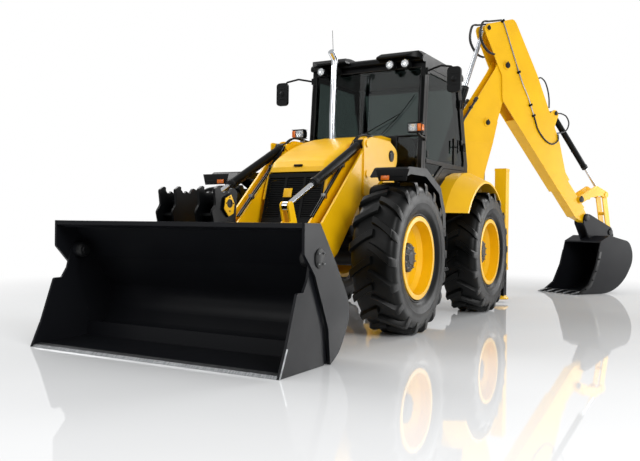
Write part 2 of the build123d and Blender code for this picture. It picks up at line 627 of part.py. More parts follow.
# Loader
def arm_plate_outline():
    return [(1352, 1610, 110), (1345, 1800, 90), (1540, 1880, 150), (2000, 1882, 150), (2330, 1575, 300),
            (2950, 1015, 120), (3200, 935, 60), (3275, 880, 40), (3360, 850, 50), (3380, 730, 60),
            (3640, 400, 75), (3620, 245, 80), (3460, 232, 80), (2650, 752, 200), (2200, 1225, 300),
            (2060, 1300, 200), (1500, 1590, 60)]


def loader_arms():
    inner = ARM_Y - ARM_GAP / 2
    outline = arm_plate_outline()
    plates = [prism(outline, "y", inner - ARM_PLATE, inner),
              prism(outline, "y", inner + ARM_GAP, inner + ARM_GAP + ARM_PLATE)]
    holes = [(ARM_PIVOT, 38 + FIT), (LEVER_PIVOT, PIN_RADIUS + FIT), (BUCKET_PIVOT, PIN_RADIUS + FIT)]
    wide = (inner - ARM_PLATE, inner + ARM_GAP + ARM_PLATE)
    web = prism([(2520, 905), (2660, 770), (3330, 345), (3345, 365), (2674, 790), (2534, 920)], "y",
                inner - 1, inner + ARM_GAP + 1)
    arm = plates[0].fuse(plates[1], web)
    for at, radius in holes:
        arm -= cross_pin(at, wide[0] - 10, wide[1] + 10, radius)
    strip = prism([(2036, 1300, 20), (2036, 1850, 20), (2166, 1850, 20), (2166, 1290, 20)], "y",
                  wide[1] - 1, wide[1] + 14)
    arm = arm + strip
    for at in (TILT_BASE, LIFT_PIN):
        arm += cross_pin(at, wide[1] + 12, wide[1] + 26, 36)
        arm += cross_pin(at, wide[0] - 12, wide[0] + 1, 36)
    arm += cross_pin(TILT_BASE, wide[0] - 6, wide[1] + 20, PIN_RADIUS)
    left, right = both_sides(arm)
    tube = bar((2930, -(ARM_Y - 60), 870), (2930, ARM_Y - 60, 870), 70)
    return [left.fuse(right, tube)]


ARM_EYE = 25               # half width of the eyes between the plates of levers and links


def tilt_levers():
    boss = cross_pin(LEVER_PIVOT, LEVER_Y[0], 2 * ARM_Y - LEVER_Y[0], 36)
    plates = about_arm(strap(LEVER_PIVOT, LEVER_TOP, 52, 40, *LEVER_Y))
    plates += about_arm(strap(LEVER_PIVOT, LINK_TOP, 52, 40, *LEVER_Y))
    lever = boss.fuse(*plates)
    pin = cross_pin(LEVER_PIVOT, ARM_Y - 82, ARM_Y + 82, PIN_RADIUS)
    link_pin = cross_pin(LINK_TOP, LEVER_Y[0] - 2, 2 * ARM_Y - LEVER_Y[0] + 2, PIN_RADIUS - 6)
    return both_sides(lever.fuse(pin, link_pin))


def bucket_links():
    link = strap(LINK_TOP, LINK_FOOT, 32, 32, ARM_Y - ARM_EYE, ARM_Y + ARM_EYE)
    for at in (LINK_TOP, LINK_FOOT):
        link -= cross_pin(at, ARM_Y - 60, ARM_Y + 60, PIN_RADIUS - 6 + FIT)
    return both_sides(link)


def bucket_shell():
    """Back plate, top box and end plates of the front bucket."""
    h = BUCKET_HALF
    back = [(4380, 1010), (4380, 985), (4215, 985), (3965, 700), (3709, 358, 200), (3880, 100, 260),
            (4010, 26), (4004, 4), (3868, 74, 288), (3672, 363, 228), (3938, 728), (4172, 1012)]
    sheet = prism(back, "y", -h + 1, h - 1)
    brow = prism([(4380, 1010), (4215, 985.5), (4190, 955), (4330, 955), (4384, 978)], "y", -h + 1, h - 1)
    end = prism([(4172, 1012), (4384, 1012), (4384, 800, 30), (4240, 655), (4040, 262), (4010, 26),
                 (4004, 4),
                 (3868, 74, 288), (3672, 363, 228), (3938, 728)], "y", h - BUCKET_WALL, h)
    ends = both_sides(end)
    shell = sheet.fuse(brow, *ends)
    pins = [cross_pin(CLAM_PIVOT, *sorted((s * (h - 70), s * h)), 34) for s in (1, -1)]
    shell = shell.fuse(*pins)
    ears = []
    for s in (1, -1):
        for y in (LEVER_Y[0], 2 * ARM_Y - LEVER_Y[1]):
            ear = prism([(BUCKET_PIVOT[0] - 55, BUCKET_PIVOT[1] - 62, 60), (3722, 262), (3746, 310),
                         (3746, 400),
                         (3800, 520), (3760, 560, 30), (3640, 590, 50), (3600, 500, 60),
                         (BUCKET_PIVOT[0] - 62, BUCKET_PIVOT[1] + 62, 60)],
                        "y", *sorted((s * y, s * (y + LEVER_Y[1] - LEVER_Y[0]))))
            ears.append(ear)
        middle = s * ARM_Y
        ears.append(cross_pin(BUCKET_PIVOT, middle - 82, middle + 82, PIN_RADIUS))
        ears.append(cross_pin(LINK_FOOT, middle - 46, middle + 46, PIN_RADIUS - 6))
    return [shell.fuse(*ears)]


def bucket_clam():
    """Floor and cheeks of the opening jaw, hung from a pin at each end."""
    h = BUCKET_HALF - BUCKET_WALL - GAP
    floor = prism([(4640, 0), (4618, 18), (4330, 26), (4075, 34), (4060, 150), (4040, 150), (4014, 30),
                   (4052, 4)],
                  "y", -h + 1, h - 1)
    cheek_outline = [(4640, 0), (4552, 190), (4425, 540, 20), (4345, 540, 20), (4290, 620, 30),
                     (4240, 800, 50),
                     (4130, 840, 70), (4120, 740, 60), (4190, 600), (4075, 300), (4040, 150), (4014, 30),
                     (4052, 4)]
    cheek = prism(cheek_outline, "y", h - 20, h)
    boss = cross_pin(CLAM_PIVOT, h - 62, h, 62)
    cheeks = []
    for part in both_sides(cheek + boss):
        cheeks.append(part - cross_pin(CLAM_PIVOT, -2000, 2000, 34 + FIT))
    return [floor.fuse(*cheeks)]


def tool_carrier():
    """Quick-hitch towers bolted to the back of the bucket, with a beam between them."""
    pieces = []
    for s in (1, -1):
        for y in (105, 262):
            cheek = prism([(3870, 640), (4172, 1002), (4196, 1090, 30), (4150, 1150, 30), (4168, 1262, 22),
                           (4118, 1292, 22), (3990, 1236, 20), (3952, 1282, 22), (3880, 1262, 40),
                           (3900, 1010, 60),
                           (3800, 900, 40)], "y", *sorted((s * y, s * (y + 20))))
            cheek -= cross_pin((4062, 1272), *sorted((s * (y - 5), s * (y + 25))), 34)
            pieces.append(cheek)
        web = prism([(3925, 960), (3905, 1240), (3930, 1240), (3960, 1100), (4120, 1080), (4130, 1060),
                     (4040, 980)], "y", *sorted((s * 124, s * 263)))
        plate = prism([(3985, 1232), (3938, 1160), (3952, 1075), (4015, 1050), (4078, 1110), (4062, 1200)],
                      "y", *sorted((s * 282.0, s * 297)))
        plate -= cross_pin((4008, 1158), *sorted((s * 278, s * 310)), 22)
        pin = cross_pin((4008, 1158), *sorted((s * 124, s * 263)), 26)
        pieces += [web, plate, pin]
    beam = prism([(3800, 760), (3900, 880), (3880, 960), (3760, 960), (3720, 820)], "y", -106, 106)
    carrier = pieces[0].fuse(*pieces[1:], beam)
    gap = prism([(3708 - 200, 412), (3708, 412), (3938, 728), (4172, 1012), (4400, 1012), (4400, 300),
                 (3708, 300)],
                "y", -400, 400)
    lift = Pos(-SEAT, 0, SEAT)
    return [(carrier - lift * gap)]


# Backhoe, drawn with its boom in the plane y = 0 and moved to its place
HOE = Pos(KINGPOST_X, SIDE_SHIFT, 0) * Rot(0, 0, SLEW)


def placed(solids):
    return [HOE * s for s in solids]


def sideshift_carriage():
    """Slides along the rear frame and holds the kingpost between two ears."""
    x_face = -1113 - SEAT
    plate = prism([(SIDE_SHIFT - 270, 440, 30), (SIDE_SHIFT + 270, 440, 30), (SIDE_SHIFT + 270, 1200, 30),
                   (SIDE_SHIFT - 270, 1200, 30)], "x", x_face - 40, x_face)
    ears = []
    for z0, z1 in ((460, 555), (1055, 1140)):
        ears.append(prism([(x_face - 30, SIDE_SHIFT - 130), (KINGPOST_X, SIDE_SHIFT - 112, 60),
                           (KINGPOST_X - 112, SIDE_SHIFT - 60, 80), (KINGPOST_X - 112, SIDE_SHIFT + 60, 80),
                           (KINGPOST_X, SIDE_SHIFT + 112, 60), (x_face - 30, SIDE_SHIFT + 130)], "z", z0,
                          z1))
    pin = bar((KINGPOST_X, SIDE_SHIFT, 450), (KINGPOST_X, SIDE_SHIFT, 1150), 45)
    return [plate.fuse(*ears, pin)]


def kingpost():
    body = bar((0, 0, 555.5), (0, 0, 1054.5), 92)
    nose = prism([(-40, 600), (BOOM_FOOT[0] + 40, 780, 30), (BOOM_FOOT[0] + 72, BOOM_FOOT[1], 60),
                  (BOOM_FOOT[0], BOOM_FOOT[1] + 80, 60), (-40, 1030)], "y", -104, 104)
    x, z = BOOM_RAM_BASE
    toe = prism([(0, 570), (x + 50, 570, 50), (x + 50, 690, 50), (200, 800), (0, 800)], "y", -88, 88)
    slot = prism([(x - 120, 500), (x + 300, 500), (x + 300, 780), (x - 120, 1200)], "y", -66, 66)
    post = body.fuse(nose, toe) - slot
    post -= bar((0, 0, 400), (0, 0, 1200), 45 + FIT)
    pin = cross_pin(BOOM_FOOT, -128, 128, 36)
    ram_pin = cross_pin(BOOM_RAM_BASE, -94, 94, PIN_RADIUS)
    return placed([post.fuse(pin, ram_pin)])


BOOM_SIDE = [(165, 830, 60), (335, 820, 60), (350, 1000, 60), (440, 1760, 400), (830, 2950, 400),
             (965, 3230, 90),
             (965, 3430, 110), (745, 3455, 110), (620, 3240, 300), (35, 2430, 300), (85, 1760, 400),
             (170, 1200, 200)]


def boom():
    """Cranked box boom: two side plates, covers on its edges and a fork for the dipper."""
    def across(inset):
        """What lies this far inside the boom's sides, which draw in below the dipper."""
        half, tip = BOOM_HALF - inset, BOOM_TIP_HALF - inset
        return prism([(-half, 700), (half, 700), (half, 2200), (tip, 2540), (tip, 3600), (-tip, 3600),
                      (-tip, 2540), (-half, 2200)], "x", -500, 1200)

    outer = prism(BOOM_SIDE, "y", -BOOM_HALF, BOOM_HALF) & across(0)
    cheeks = outer - across(12)
    skin = prism([(126, 1500), (140, 1500), (101, 1760), (99, 2060), (185, 2430), (342, 2750), (328, 2758),
                  (170, 2436), (84, 2064), (87, 1760)], "y", -BOOM_HALF + 11, BOOM_HALF - 11)
    back = prism([(600, 2280), (640, 2400), (684, 2520), (704, 2514), (660, 2394), (620, 2274)],
                 "y", -BOOM_HALF + 11, BOOM_HALF - 11)
    ears = []
    for y in (-74, 58):
        ears.append(prism([(DIPPER_RAM_BASE[0] - 48, DIPPER_RAM_BASE[1] - 20, 45),
                           (DIPPER_RAM_BASE[0] + 20, DIPPER_RAM_BASE[1] - 52, 30), (86, 1640), (86, 2050),
                           (DIPPER_RAM_BASE[0], DIPPER_RAM_BASE[1] + 60, 50)], "y", y, y + 16))
    saddle = prism([(84, 1640), (98, 1640), (98, 2050), (84, 2050)], "y", -74, 74)
    eye = cross_pin(DIPPER_PIVOT, -BOOM_TIP_HALF, BOOM_TIP_HALF, 78)
    body = cheeks.fuse(skin & across(11), back & across(11), *ears, saddle, eye)
    body -= cross_pin(BOOM_FOOT, -200, 200, 36 + FIT)
    pins = [cross_pin(DIPPER_RAM_BASE, -82, 82, PIN_RADIUS),
            cross_pin(DIPPER_PIVOT, -DIPPER_HALF - 18, DIPPER_HALF + 18, 40)]
    for s in (1, -1):
        pins.append(cross_pin(BOOM_RAM_PIN, *sorted((s * (RAM_EYE + 6), s * (BOOM_TIP_HALF + 24))),
                              PIN_RADIUS))
        pins.append(cross_pin(BOOM_RAM_PIN, *sorted((s * (BOOM_TIP_HALF - 8), s * (BOOM_TIP_HALF + 18))),
                              62))
    return placed([body.fuse(*pins)])


HOSE_RADIUS = 11
HOSE_Y = (93, 113)         # hoses on each side of the dipper ram's ears


def boom_hoses():
    """Four hoses that climb the boom's upper edge, held by clamps, with a fitting at each end."""
    route = [(140, 1290), (69, 1758), (19, 2429), (284, 2796)]
    hoses = []
    for s in (1, -1):
        for y in HOSE_Y:
            hoses.append(tube_path([(r, s * y, z) for r, z in route], 316, HOSE_RADIUS))
    # Clamps: start and end of the boom's edge beside them, share of the way, half length
    edge = [((170, 1200), (85, 1760), 0.24, 34), ((170, 1200), (85, 1760), 0.9, 16),
            ((85, 1760), (35, 2430), 0.5, 16), ((35, 2430), (620, 3240), 0.3, 16),
            ((35, 2430), (620, 3240), 0.445, 34)]
    clamps = []
    for (r0, z0), (r1, z1), share, half in edge:
        long = hypot(r1 - r0, z1 - z0)
        dr, dz = (r1 - r0) / long, (z1 - z0) / long
        r, z = r0 + (r1 - r0) * share, z0 + (z1 - z0) * share
        corners = [(r + a * dr - b * dz, z + a * dz + b * dr) for a, b in
                   ((-half, SEAT), (half, SEAT), (half, 32), (-half, 32))]
        for s in (1, -1):
            clamps.append(prism(corners, "y", *sorted((s * (HOSE_Y[0] - 14), s * (HOSE_Y[1] + 13)))))
    left = hoses[0].fuse(hoses[1], *clamps[0::2])
    right = hoses[2].fuse(hoses[3], *clamps[1::2])
    return placed([left, right])


def along_dipper(a, b):
    """Place (r, z) of a point a along the dipper's tube and b outwards from it."""
    t = radians(DIPPER_ANGLE)
    return (DIPPER_PIVOT[0] + a * cos(t) - b * sin(t), DIPPER_PIVOT[1] + a * sin(t) + b * cos(t))


def dipper_plate(corners, y0, y1):
    """Plate whose corners (a, b, radius) are measured along and across the dipper."""
    return prism([along_dipper(c[0], c[1]) + tuple(c[2:]) for c in corners], "y", y0, y1)


def dipper():
    """Outer dipper: an open channel with deep cheeks at its upper end."""
    h = DIPPER_HALF
    side = [(-690, 40, 70), (-640, 130, 90), (-440, 540, 70), (-360, 545, 50), (450, 387, 300),
            (1480, 95, 300),
            (1900, -105), (2040, -115), (2040, -392), (330, -392, 100), (60, -170, 120), (-560, -20, 80)]
    cheeks = [dipper_plate(side, -h, -h + 12), dipper_plate(side, h - 12, h)]
    floor = dipper_plate([(690, -392), (2040, -392), (2040, -380), (690, -380)], -h + 11, h - 11)
    collar = [dipper_plate([(1905, -127), (2040, -127), (2040, -112), (1905, -112)],
                           *sorted((s * 77, s * (h - 11))))
              for s in (1, -1)]
    crown = dipper_plate([(-430, 528), (-430, 541), (-365, 543), (440, 388), (440, 374), (-370, 530)],
                         -h + 11, h - 11)
    web = dipper_plate([(-300, 250), (-290, 262), (330, 120), (330, 105)], -h + 11, h - 11)
    pads = [dipper_plate([(a, -355), (a + 100, -355), (a + 100, -150), (a, -150)],
                         *sorted((s * (INNER_HALF + SEAT), s * (h - 11))))
            for a in (1100, 1930) for s in (1, -1)]
    body = cheeks[0].fuse(cheeks[1], floor, *collar, crown, web, *pads)
    for s in (1, -1):
        body += cross_pin(DIPPER_PIVOT, *sorted((s * (h - 1), s * (h + 8))), 66)
    body -= cross_pin(DIPPER_PIVOT, -200, 200, 40 + FIT)
    for s in (1, -1):
        body += cross_pin(DIPPER_RAM_PIN, *sorted((s * (h - 1), s * (h + 9))), 44)
    return placed([body])


def dipper_inner():
    """Sliding tube with the bucket ram's bracket, the crank's pin and the bucket's eye."""
    h = INNER_HALF
    tube = dipper_plate([(1000, -374), (2560, -374, 60), (2790, -260, 60), (2790, -160, 60),
                         (2560, -134, 60),
                         (1000, -134)], -h, h)
    nose_cut = [dipper_plate([(2580, -500), (2900, -500), (2900, 0), (2580, 0)],
                             *sorted((s * 62, s * 200))) for s in (1, -1)]
    for cut in nose_cut:
        tube -= cut
    fin = dipper_plate([(1010, -140), (1060, 360, 40), (1119, 400, 60), (1175, 370, 40), (1420, -140)], -70,
                       70)
    fork = dipper_plate([(1000, 120), (1000, 500), (1800, 500), (1800, 120)], -BUCKET_RAM_FORK,
                        BUCKET_RAM_FORK)
    tube = tube.fuse(fin) - fork
    ram_pin = cross_pin(BUCKET_RAM_BASE, -76, 76, PIN_RADIUS)
    crank_boss = cross_pin(CRANK_PIVOT, -h, h, 58)
    body = tube.fuse(ram_pin, crank_boss)
    body += cross_pin(CRANK_PIVOT, -h - 26, h + 26, PIN_RADIUS)
    body += cross_pin(HOE_BUCKET_PIVOT, -62, 62, 60)
    body -= cross_pin(HOE_BUCKET_PIVOT, -100, 100, PIN_RADIUS + FIT)
    return placed([body])


def tipping_crank():
    """Pair of curved levers from the dipper's end to the bucket ram's rod."""
    pieces = []
    for s in (1, -1):
        y0, y1 = sorted((s * (INNER_HALF + 4), s * (INNER_HALF + 20)))
        hump = (CRANK_PIVOT[0] + 330, CRANK_PIVOT[1] + 165)
        lever = strap(CRANK_PIVOT, hump, 58, 58, y0, y1).fuse(strap(hump, CRANK_END, 58, 50, y0, y1))
        lever += prism([CRANK_PIVOT, CRANK_END, hump], "y", y0, y1)
        lever -= cross_pin(CRANK_PIVOT, y0 - 5, y1 + 5, PIN_RADIUS + FIT)
        pieces.append(lever + cross_pin(CRANK_END, *sorted((s * (INNER_HALF + 19), s * (INNER_HALF + 30))),
                                        38))
    middle = ((2 * CRANK_PIVOT[0] + CRANK_END[0]) / 3, (2 * CRANK_PIVOT[1] + CRANK_END[1]) / 3)
    tie = cross_pin(middle, -INNER_HALF - 10, INNER_HALF + 10, 28)
    return placed([pieces[0].fuse(pieces[1], tie)])


def tipping_link():
    """Link from the crank's end down to the hitch."""
    plates = []
    for s in (1, -1):
        y0, y1 = sorted((s * 52, s * 72))
        plate = strap(CRANK_END, HOE_LINK_PIN, 46, 46, y0, y1)
        plate -= cross_pin(HOE_LINK_PIN, y0 - 5, y1 + 5, PIN_RADIUS - 6 + FIT)
        plates.append(plate + cross_pin(CRANK_END, *sorted((s * (ARM_EYE + 6), s * 80)), PIN_RADIUS - 6))
    middle = ((CRANK_END[0] + HOE_LINK_PIN[0]) / 2, (CRANK_END[1] + HOE_LINK_PIN[1]) / 2)
    tie = cross_pin(middle, -60, 60, 26)
    return placed([plates[0].fuse(plates[1], tie)])


def hoe_bucket():
    """Trenching bucket with its hitch, curved back, cutting lip and teeth."""
    h = HOE_BUCKET_HALF
    wall = 16
    side = [(2510, 800), (2700, 890, 60), (3125, 800, 150), (3262, 560, 330), (2960, 60, 690), (2600, 4),
            (2060, 4), (2060, 26), (2270, 150, 160), (2410, 420, 400)]
    shell = prism(side, "y", -h, h)
    room = prism([(2400, 730), (2702, 873, 44), (3115, 786, 134), (3243, 560, 314), (2948, 82, 670),
                  (2600, 26), (1900, 26), (1900, 400)], "y", -h + wall, h - wall)
    bucket = shell - room
    teeth = []
    count = 5
    for i in range(count):
        y = -h + 35 + i * (2 * h - 70) / (count - 1)
        teeth.append(prism([(2180, 4), (2180, 44), (2100, 44), (1950, 12), (1945, 4)], "y", y - 30, y + 30))
    bucket = bucket.fuse(*teeth)
    ears = []
    for s in (1, -1):
        ear = prism([(2440, 1170, 40), (2470, 1225, 40), (2560, 1215, 60), (3040, 1010, 50), (3085, 890, 40),
                     (3056, 806), (2710, 879), (2570, 815), (2430, 1080, 60)], "y",
                    *sorted((s * 78, s * 98)))
        ears.append(ear)
    spine = prism([(2600, 1000, 30), (2940, 834), (2710, 880), (2640, 850)], "y", -46, 46)
    pins = [cross_pin(HOE_BUCKET_PIVOT, -104, 104, PIN_RADIUS),
            cross_pin(HOE_LINK_PIN, -104, 104, PIN_RADIUS - 6)]
    pins += [cross_pin(HOE_LINK_PIN, *sorted((s * 79, s * 104)), 40) for s in (1, -1)]
    return placed([bucket.fuse(*ears, spine, *pins)])


# Each ram: base, tip, radius, half width of base eye and of rod eye, barrel's length, further travel, home
RAMS = {
    "lift": (LIFT_BASE, LIFT_PIN, 42, 44, ARM_EYE, 960, 735, "arms"),
    "tilt": (TILT_BASE, LEVER_TOP, 40, 44, ARM_EYE, 1000, 500, "arms"),
    "boom": (BOOM_RAM_BASE, BOOM_RAM_PIN, 58, 58, RAM_EYE, 1400, 60, "hoe"),
    "dipper": (DIPPER_RAM_BASE, DIPPER_RAM_PIN, 50, 52, RAM_EYE, 1238, 173, "hoe"),
    "bucket": (BUCKET_RAM_BASE, CRANK_END, 42, 38, ARM_EYE, 1060, 370, "hoe"),
}


def ram(name, kind):
    base, tip, radius, base_half, tip_half, closed, extend, home = RAMS[name]
    y = ARM_Y if home == "arms" else 0
    if kind == "barrel":
        solid = ram_barrel(base, tip, y, radius, base_half, closed)
    else:
        solid = ram_rod(base, tip, y, radius, tip_half, closed, extend)
    return both_sides(solid) if home == "arms" else placed([solid])


WHEELS = {  # corner: (x of the axle, side)
    "front_left": (WHEELBASE, 1),
    "front_right": (WHEELBASE, -1),
    "rear_left": (0, 1),
    "rear_right": (0, -1),
}


def nodes():
    table = {
        "main_frame": main_frame(),
        "loader_towers": loader_towers(),
        "engine_block": engine_block(),
        "engine_panels": engine_panels(),
        "radiator_grille": grille(),
        "hood": hood(),
        "exhaust_stack": exhaust_stack(),
        "axles": axles(),
        "cab_shell": cab_shell(),
        "cab_roof": cab_roof(),
        "cab_glass": cab_glass(),
        "cab_interior": cab_interior(),
        "door_left": door(1),
        "door_right": door(-1),
        "door_left_glass": door_glass(1),
        "door_right_glass": door_glass(-1),
        "lamps_and_mirrors": lamps_and_mirrors(),
        "front_fenders": front_fenders(),
        "rear_fenders": rear_fenders(),
        "side_tanks": side_tanks(),
        "rear_frame": rear_frame(),
        "stabiliser_left": stabiliser_leg(1),
        "stabiliser_right": stabiliser_leg(-1),
        "loader_arms": loader_arms(),
        "tilt_levers": tilt_levers(),
        "bucket_links": bucket_links(),
        "bucket_shell": bucket_shell(),
        "bucket_clam": bucket_clam(),
        "tool_carrier": tool_carrier(),
        "sideshift_carriage": sideshift_carriage(),
        "kingpost": kingpost(),
        "boom": boom(),
        "boom_hoses": boom_hoses(),
        "dipper": dipper(),
        "dipper_inner": dipper_inner(),
        "tipping_crank": tipping_crank(),
        "tipping_link": tipping_link(),
        "hoe_bucket": hoe_bucket(),
    }
    for name in RAMS:
        for kind in ("barrel", "rod"):
            table[f"{name}_ram_{kind}"] = ram(name, kind)
    tyres = {side: tyre(side) for side in (1, -1)}
    rims = {side: rim(side) for side in (1, -1)}
    for corner, (x, side) in WHEELS.items():
        at = Pos(x, side * HALF_TRACK, AXLE_Z)
        table[f"tyre_{corner}"] = [at * tyres[side]]
        table[f"rim_{corner}"] = [at * rims[side]]
        table[f"knuckle_{corner}"] = [Pos(x, side * KINGPIN_Y, AXLE_Z) * knuckle(side)]
    return table


def main():
    os.makedirs("parts", exist_ok=True)
    for name, pieces in nodes().items():
        solids = [s for piece in pieces for s in piece.solids()]
        shape = solids[0] if len(solids) == 1 else Compound(children=solids)
        shape.label = name
        export_step(shape, f"parts/{name}.step")


if __name__ == "__main__":
    main()
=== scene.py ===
import json
from math import cos, pi, radians, sin

import bmesh
import bpy
from mathutils import Matrix, Vector


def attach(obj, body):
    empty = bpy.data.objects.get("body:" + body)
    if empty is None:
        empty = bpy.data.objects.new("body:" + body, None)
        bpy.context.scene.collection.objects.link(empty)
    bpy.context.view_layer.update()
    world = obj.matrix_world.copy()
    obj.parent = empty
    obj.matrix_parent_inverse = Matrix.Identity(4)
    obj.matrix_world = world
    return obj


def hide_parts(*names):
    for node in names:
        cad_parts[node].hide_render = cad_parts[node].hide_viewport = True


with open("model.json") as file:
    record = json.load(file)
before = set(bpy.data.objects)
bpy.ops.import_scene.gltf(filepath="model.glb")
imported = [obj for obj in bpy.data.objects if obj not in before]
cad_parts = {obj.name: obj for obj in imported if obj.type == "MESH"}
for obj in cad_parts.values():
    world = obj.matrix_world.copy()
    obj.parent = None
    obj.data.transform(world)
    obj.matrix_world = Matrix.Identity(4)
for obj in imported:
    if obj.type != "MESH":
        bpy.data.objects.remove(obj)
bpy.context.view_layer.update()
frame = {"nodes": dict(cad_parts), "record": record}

# Metres, in the frame of the CAD: X forward, Y to the left, Z up
HALF_TRACK = 0.97
WHEELBASE = 2.22
AXLE_Z = 0.705
SLEW = radians(147)
SIDES = (("left", 1), ("right", -1))
CORNERS = [(f"{end}_{side}", x, s) for end, x in (("front", WHEELBASE), ("rear", 0.0)) for side, s in SIDES]
ROOF_LAMPS_Y = (-0.525, -0.345, 0.345, 0.525)
ROOF_LAMPS_Z = 2.770
PANE_HALF, PANE_TOP = 0.664, 2.752
DIPPER_PIVOT = (0.840, 3.340)
DIPPER_LEAN = radians(-48.5)
CARRIER_EYE = (4.008, 1.158)


# Camera: placed where the photograph was taken from
CAMERA_PLACE = (8.6597, 3.7505, 1.0028)
CAMERA_LENS = 41.87
YAW, PITCH, ROLL = radians(209.602), radians(-0.457), radians(0.726)


def place_camera():
    yaw, pitch, roll = YAW, PITCH, ROLL
    ahead = Vector((cos(yaw) * cos(pitch), sin(yaw) * cos(pitch), sin(pitch)))
    right = ahead.cross(Vector((0, 0, 1))).normalized()
    up = right.cross(ahead)
    right, up = right * cos(roll) + up * sin(roll), up * cos(roll) - right * sin(roll)
    data = bpy.data.cameras.new("camera")
    data.lens, data.sensor_width, data.sensor_fit = CAMERA_LENS, 36, "HORIZONTAL"
    data.clip_end = 200
    camera = bpy.data.objects.new("camera", data)
    bpy.context.scene.collection.objects.link(camera)
    turn = Matrix((right, up, -ahead)).transposed().to_4x4()
    camera.matrix_world = Matrix.Translation(CAMERA_PLACE) @ turn
    bpy.context.scene.camera = camera


place_camera()


# Materials
def linear(code):
    values = [int(code[i:i + 2], 16) / 255 for i in (1, 3, 5)]
    return tuple(v / 12.92 if v <= 0.04045 else ((v + 0.055) / 1.055) ** 2.4 for v in values) + (1,)


def material(name, colour, second=None, rough=(0.4, 0.5), metal=0.0, patch=3.0, grain=400.0, bump=0.05,
             depth=0.0004, stretch=(1, 1, 1), dust=None, **sockets):
    """Shader with a mottled colour and gloss, a fine bump, and dust low down where it is asked for."""
    mat = bpy.data.materials.new(name)
    mat.use_nodes = True
    nodes, links = mat.node_tree.nodes, mat.node_tree.links
    shader = nodes["Principled BSDF"]
    place = nodes.new("ShaderNodeTexCoord")
    scale = nodes.new("ShaderNodeMapping")
    scale.inputs["Scale"].default_value = stretch
    links.new(place.outputs["Object"], scale.inputs["Vector"])

    def noise(size, detail):
        node = nodes.new("ShaderNodeTexNoise")
        node.inputs["Scale"].default_value = size
        node.inputs["Detail"].default_value = detail
        links.new(scale.outputs["Vector"], node.inputs["Vector"])
        return node.outputs["Fac"]

    def spread(value, low, high, to_low=0.0, to_high=1.0):
        node = nodes.new("ShaderNodeMapRange")
        for key, number in (("From Min", low), ("From Max", high), ("To Min", to_low), ("To Max", to_high)):
            node.inputs[key].default_value = number
        links.new(value, node.inputs["Value"])
        return node.outputs["Result"]

    def mix(factor, first, other):
        node = nodes.new("ShaderNodeMix")
        node.data_type = "RGBA"
        links.new(factor, node.inputs["Factor"])
        for socket, value in ((node.inputs["A"], first), (node.inputs["B"], other)):
            if isinstance(value, tuple):
                socket.default_value = value
            else:
                links.new(value, socket)
        return node.outputs["Result"]

    patches = noise(patch, 5)
    base = mix(spread(patches, 0.35, 0.68), linear(colour), linear(second or colour))
    if dust:
        split = nodes.new("ShaderNodeSeparateXYZ")
        links.new(place.outputs["Object"], split.inputs["Vector"])
        low = spread(split.outputs["Z"], dust[1], 0.0, 0.0, dust[2])
        both = nodes.new("ShaderNodeMath")
        both.operation = "MULTIPLY"
        links.new(low, both.inputs[0])
        links.new(spread(noise(9, 6), 0.4, 0.65), both.inputs[1])
        base = mix(both.outputs[0], base, linear(dust[0]))
    links.new(base, shader.inputs["Base Color"])
    links.new(spread(noise(patch * 3.3, 4), 0.3, 0.7, *rough), shader.inputs["Roughness"])
    shader.inputs["Metallic"].default_value = metal
    if bump:
        relief = nodes.new("ShaderNodeBump")
        relief.inputs["Strength"].default_value = bump
        relief.inputs["Distance"].default_value = depth
        links.new(noise(grain, 3), relief.inputs["Height"])
        links.new(relief.outputs["Normal"], shader.inputs["Normal"])
    for key, value in sockets.items():
        shader.inputs[key.replace("_", " ")].default_value = value
    return mat


DUST = ("#8c7f6a", 0.55, 0.16)
YELLOW = material("yellow paint", "#ebb607", "#e3ad05", (0.32, 0.40), grain=900, bump=0.04, dust=DUST,
                  Coat_Weight=0.12, Coat_Roughness=0.16, Specular_IOR_Level=0.30)
BLACK = material("satin black paint", "#050607", "#08090a", (0.28, 0.38), grain=700, bump=0.08,
                 Specular_IOR_Level=0.12)
BUCKET = material("bucket black", "#121316", "#141518", (0.32, 0.40), patch=1.0, grain=500, bump=0.03,
                  Specular_IOR_Level=0.12)
FRAME = material("frame black", "#070809", "#0b0c0d", (0.38, 0.50), grain=600, bump=0.10, dust=DUST,
                 Specular_IOR_Level=0.14)
GREY = material("grille grey", "#26282c", "#1f2124", (0.42, 0.52), grain=800, bump=0.2)
PLASTIC = material("grained plastic", "#090a0b", "#0e0f10", (0.42, 0.55), grain=1500, bump=0.25,
                   Specular_IOR_Level=0.14)
CHROME = material("chrome", "#dfe2e6", "#cfd3d8", (0.05, 0.10), 1.0, grain=300, bump=0.01)
STEEL = material("worn steel", "#9c9ea0", "#6f7173", (0.28, 0.48), 0.9, 14, 500, 0.3, stretch=(1, 6, 1))
BOLT = material("plated bolts", "#8b8d8c", "#6d6f70", (0.3, 0.42), 0.95, 30, 900, 0.1)
CAST = material("casting", "#0b0c0d", "#101112", (0.42, 0.55), 0.0, 6, 240, 0.4, Specular_IOR_Level=0.32)
RUBBER = material("tyre rubber", "#040505", "#070808", (0.36, 0.46), 0.0, 5, 180, 0.20, 0.0006,
                  Specular_IOR_Level=0.20)
HOSE = material("hose rubber", "#0f0f10", "#17181a", (0.36, 0.48), 0.0, 20, 1200, 0.4)
SEAL = material("seal rubber", "#0c0c0d", "#121213", (0.6, 0.7), 0.0, 20, 900, 0.2)
FABRIC = material("seat fabric", "#2a2c30", "#1d1e21", (0.8, 0.95), 0.0, 120, 1600, 0.6, Sheen_Weight=0.3)
GLASS = material("tinted glass", "#7a8784", "#768380", (0.0, 0.02), bump=0, Transmission_Weight=1.0,
                 IOR=1.25)
LENS = material("clear lens", "#f4f6f7", "#e8ecee", (0.02, 0.06), grain=200, bump=0.3,
                Transmission_Weight=0.75)
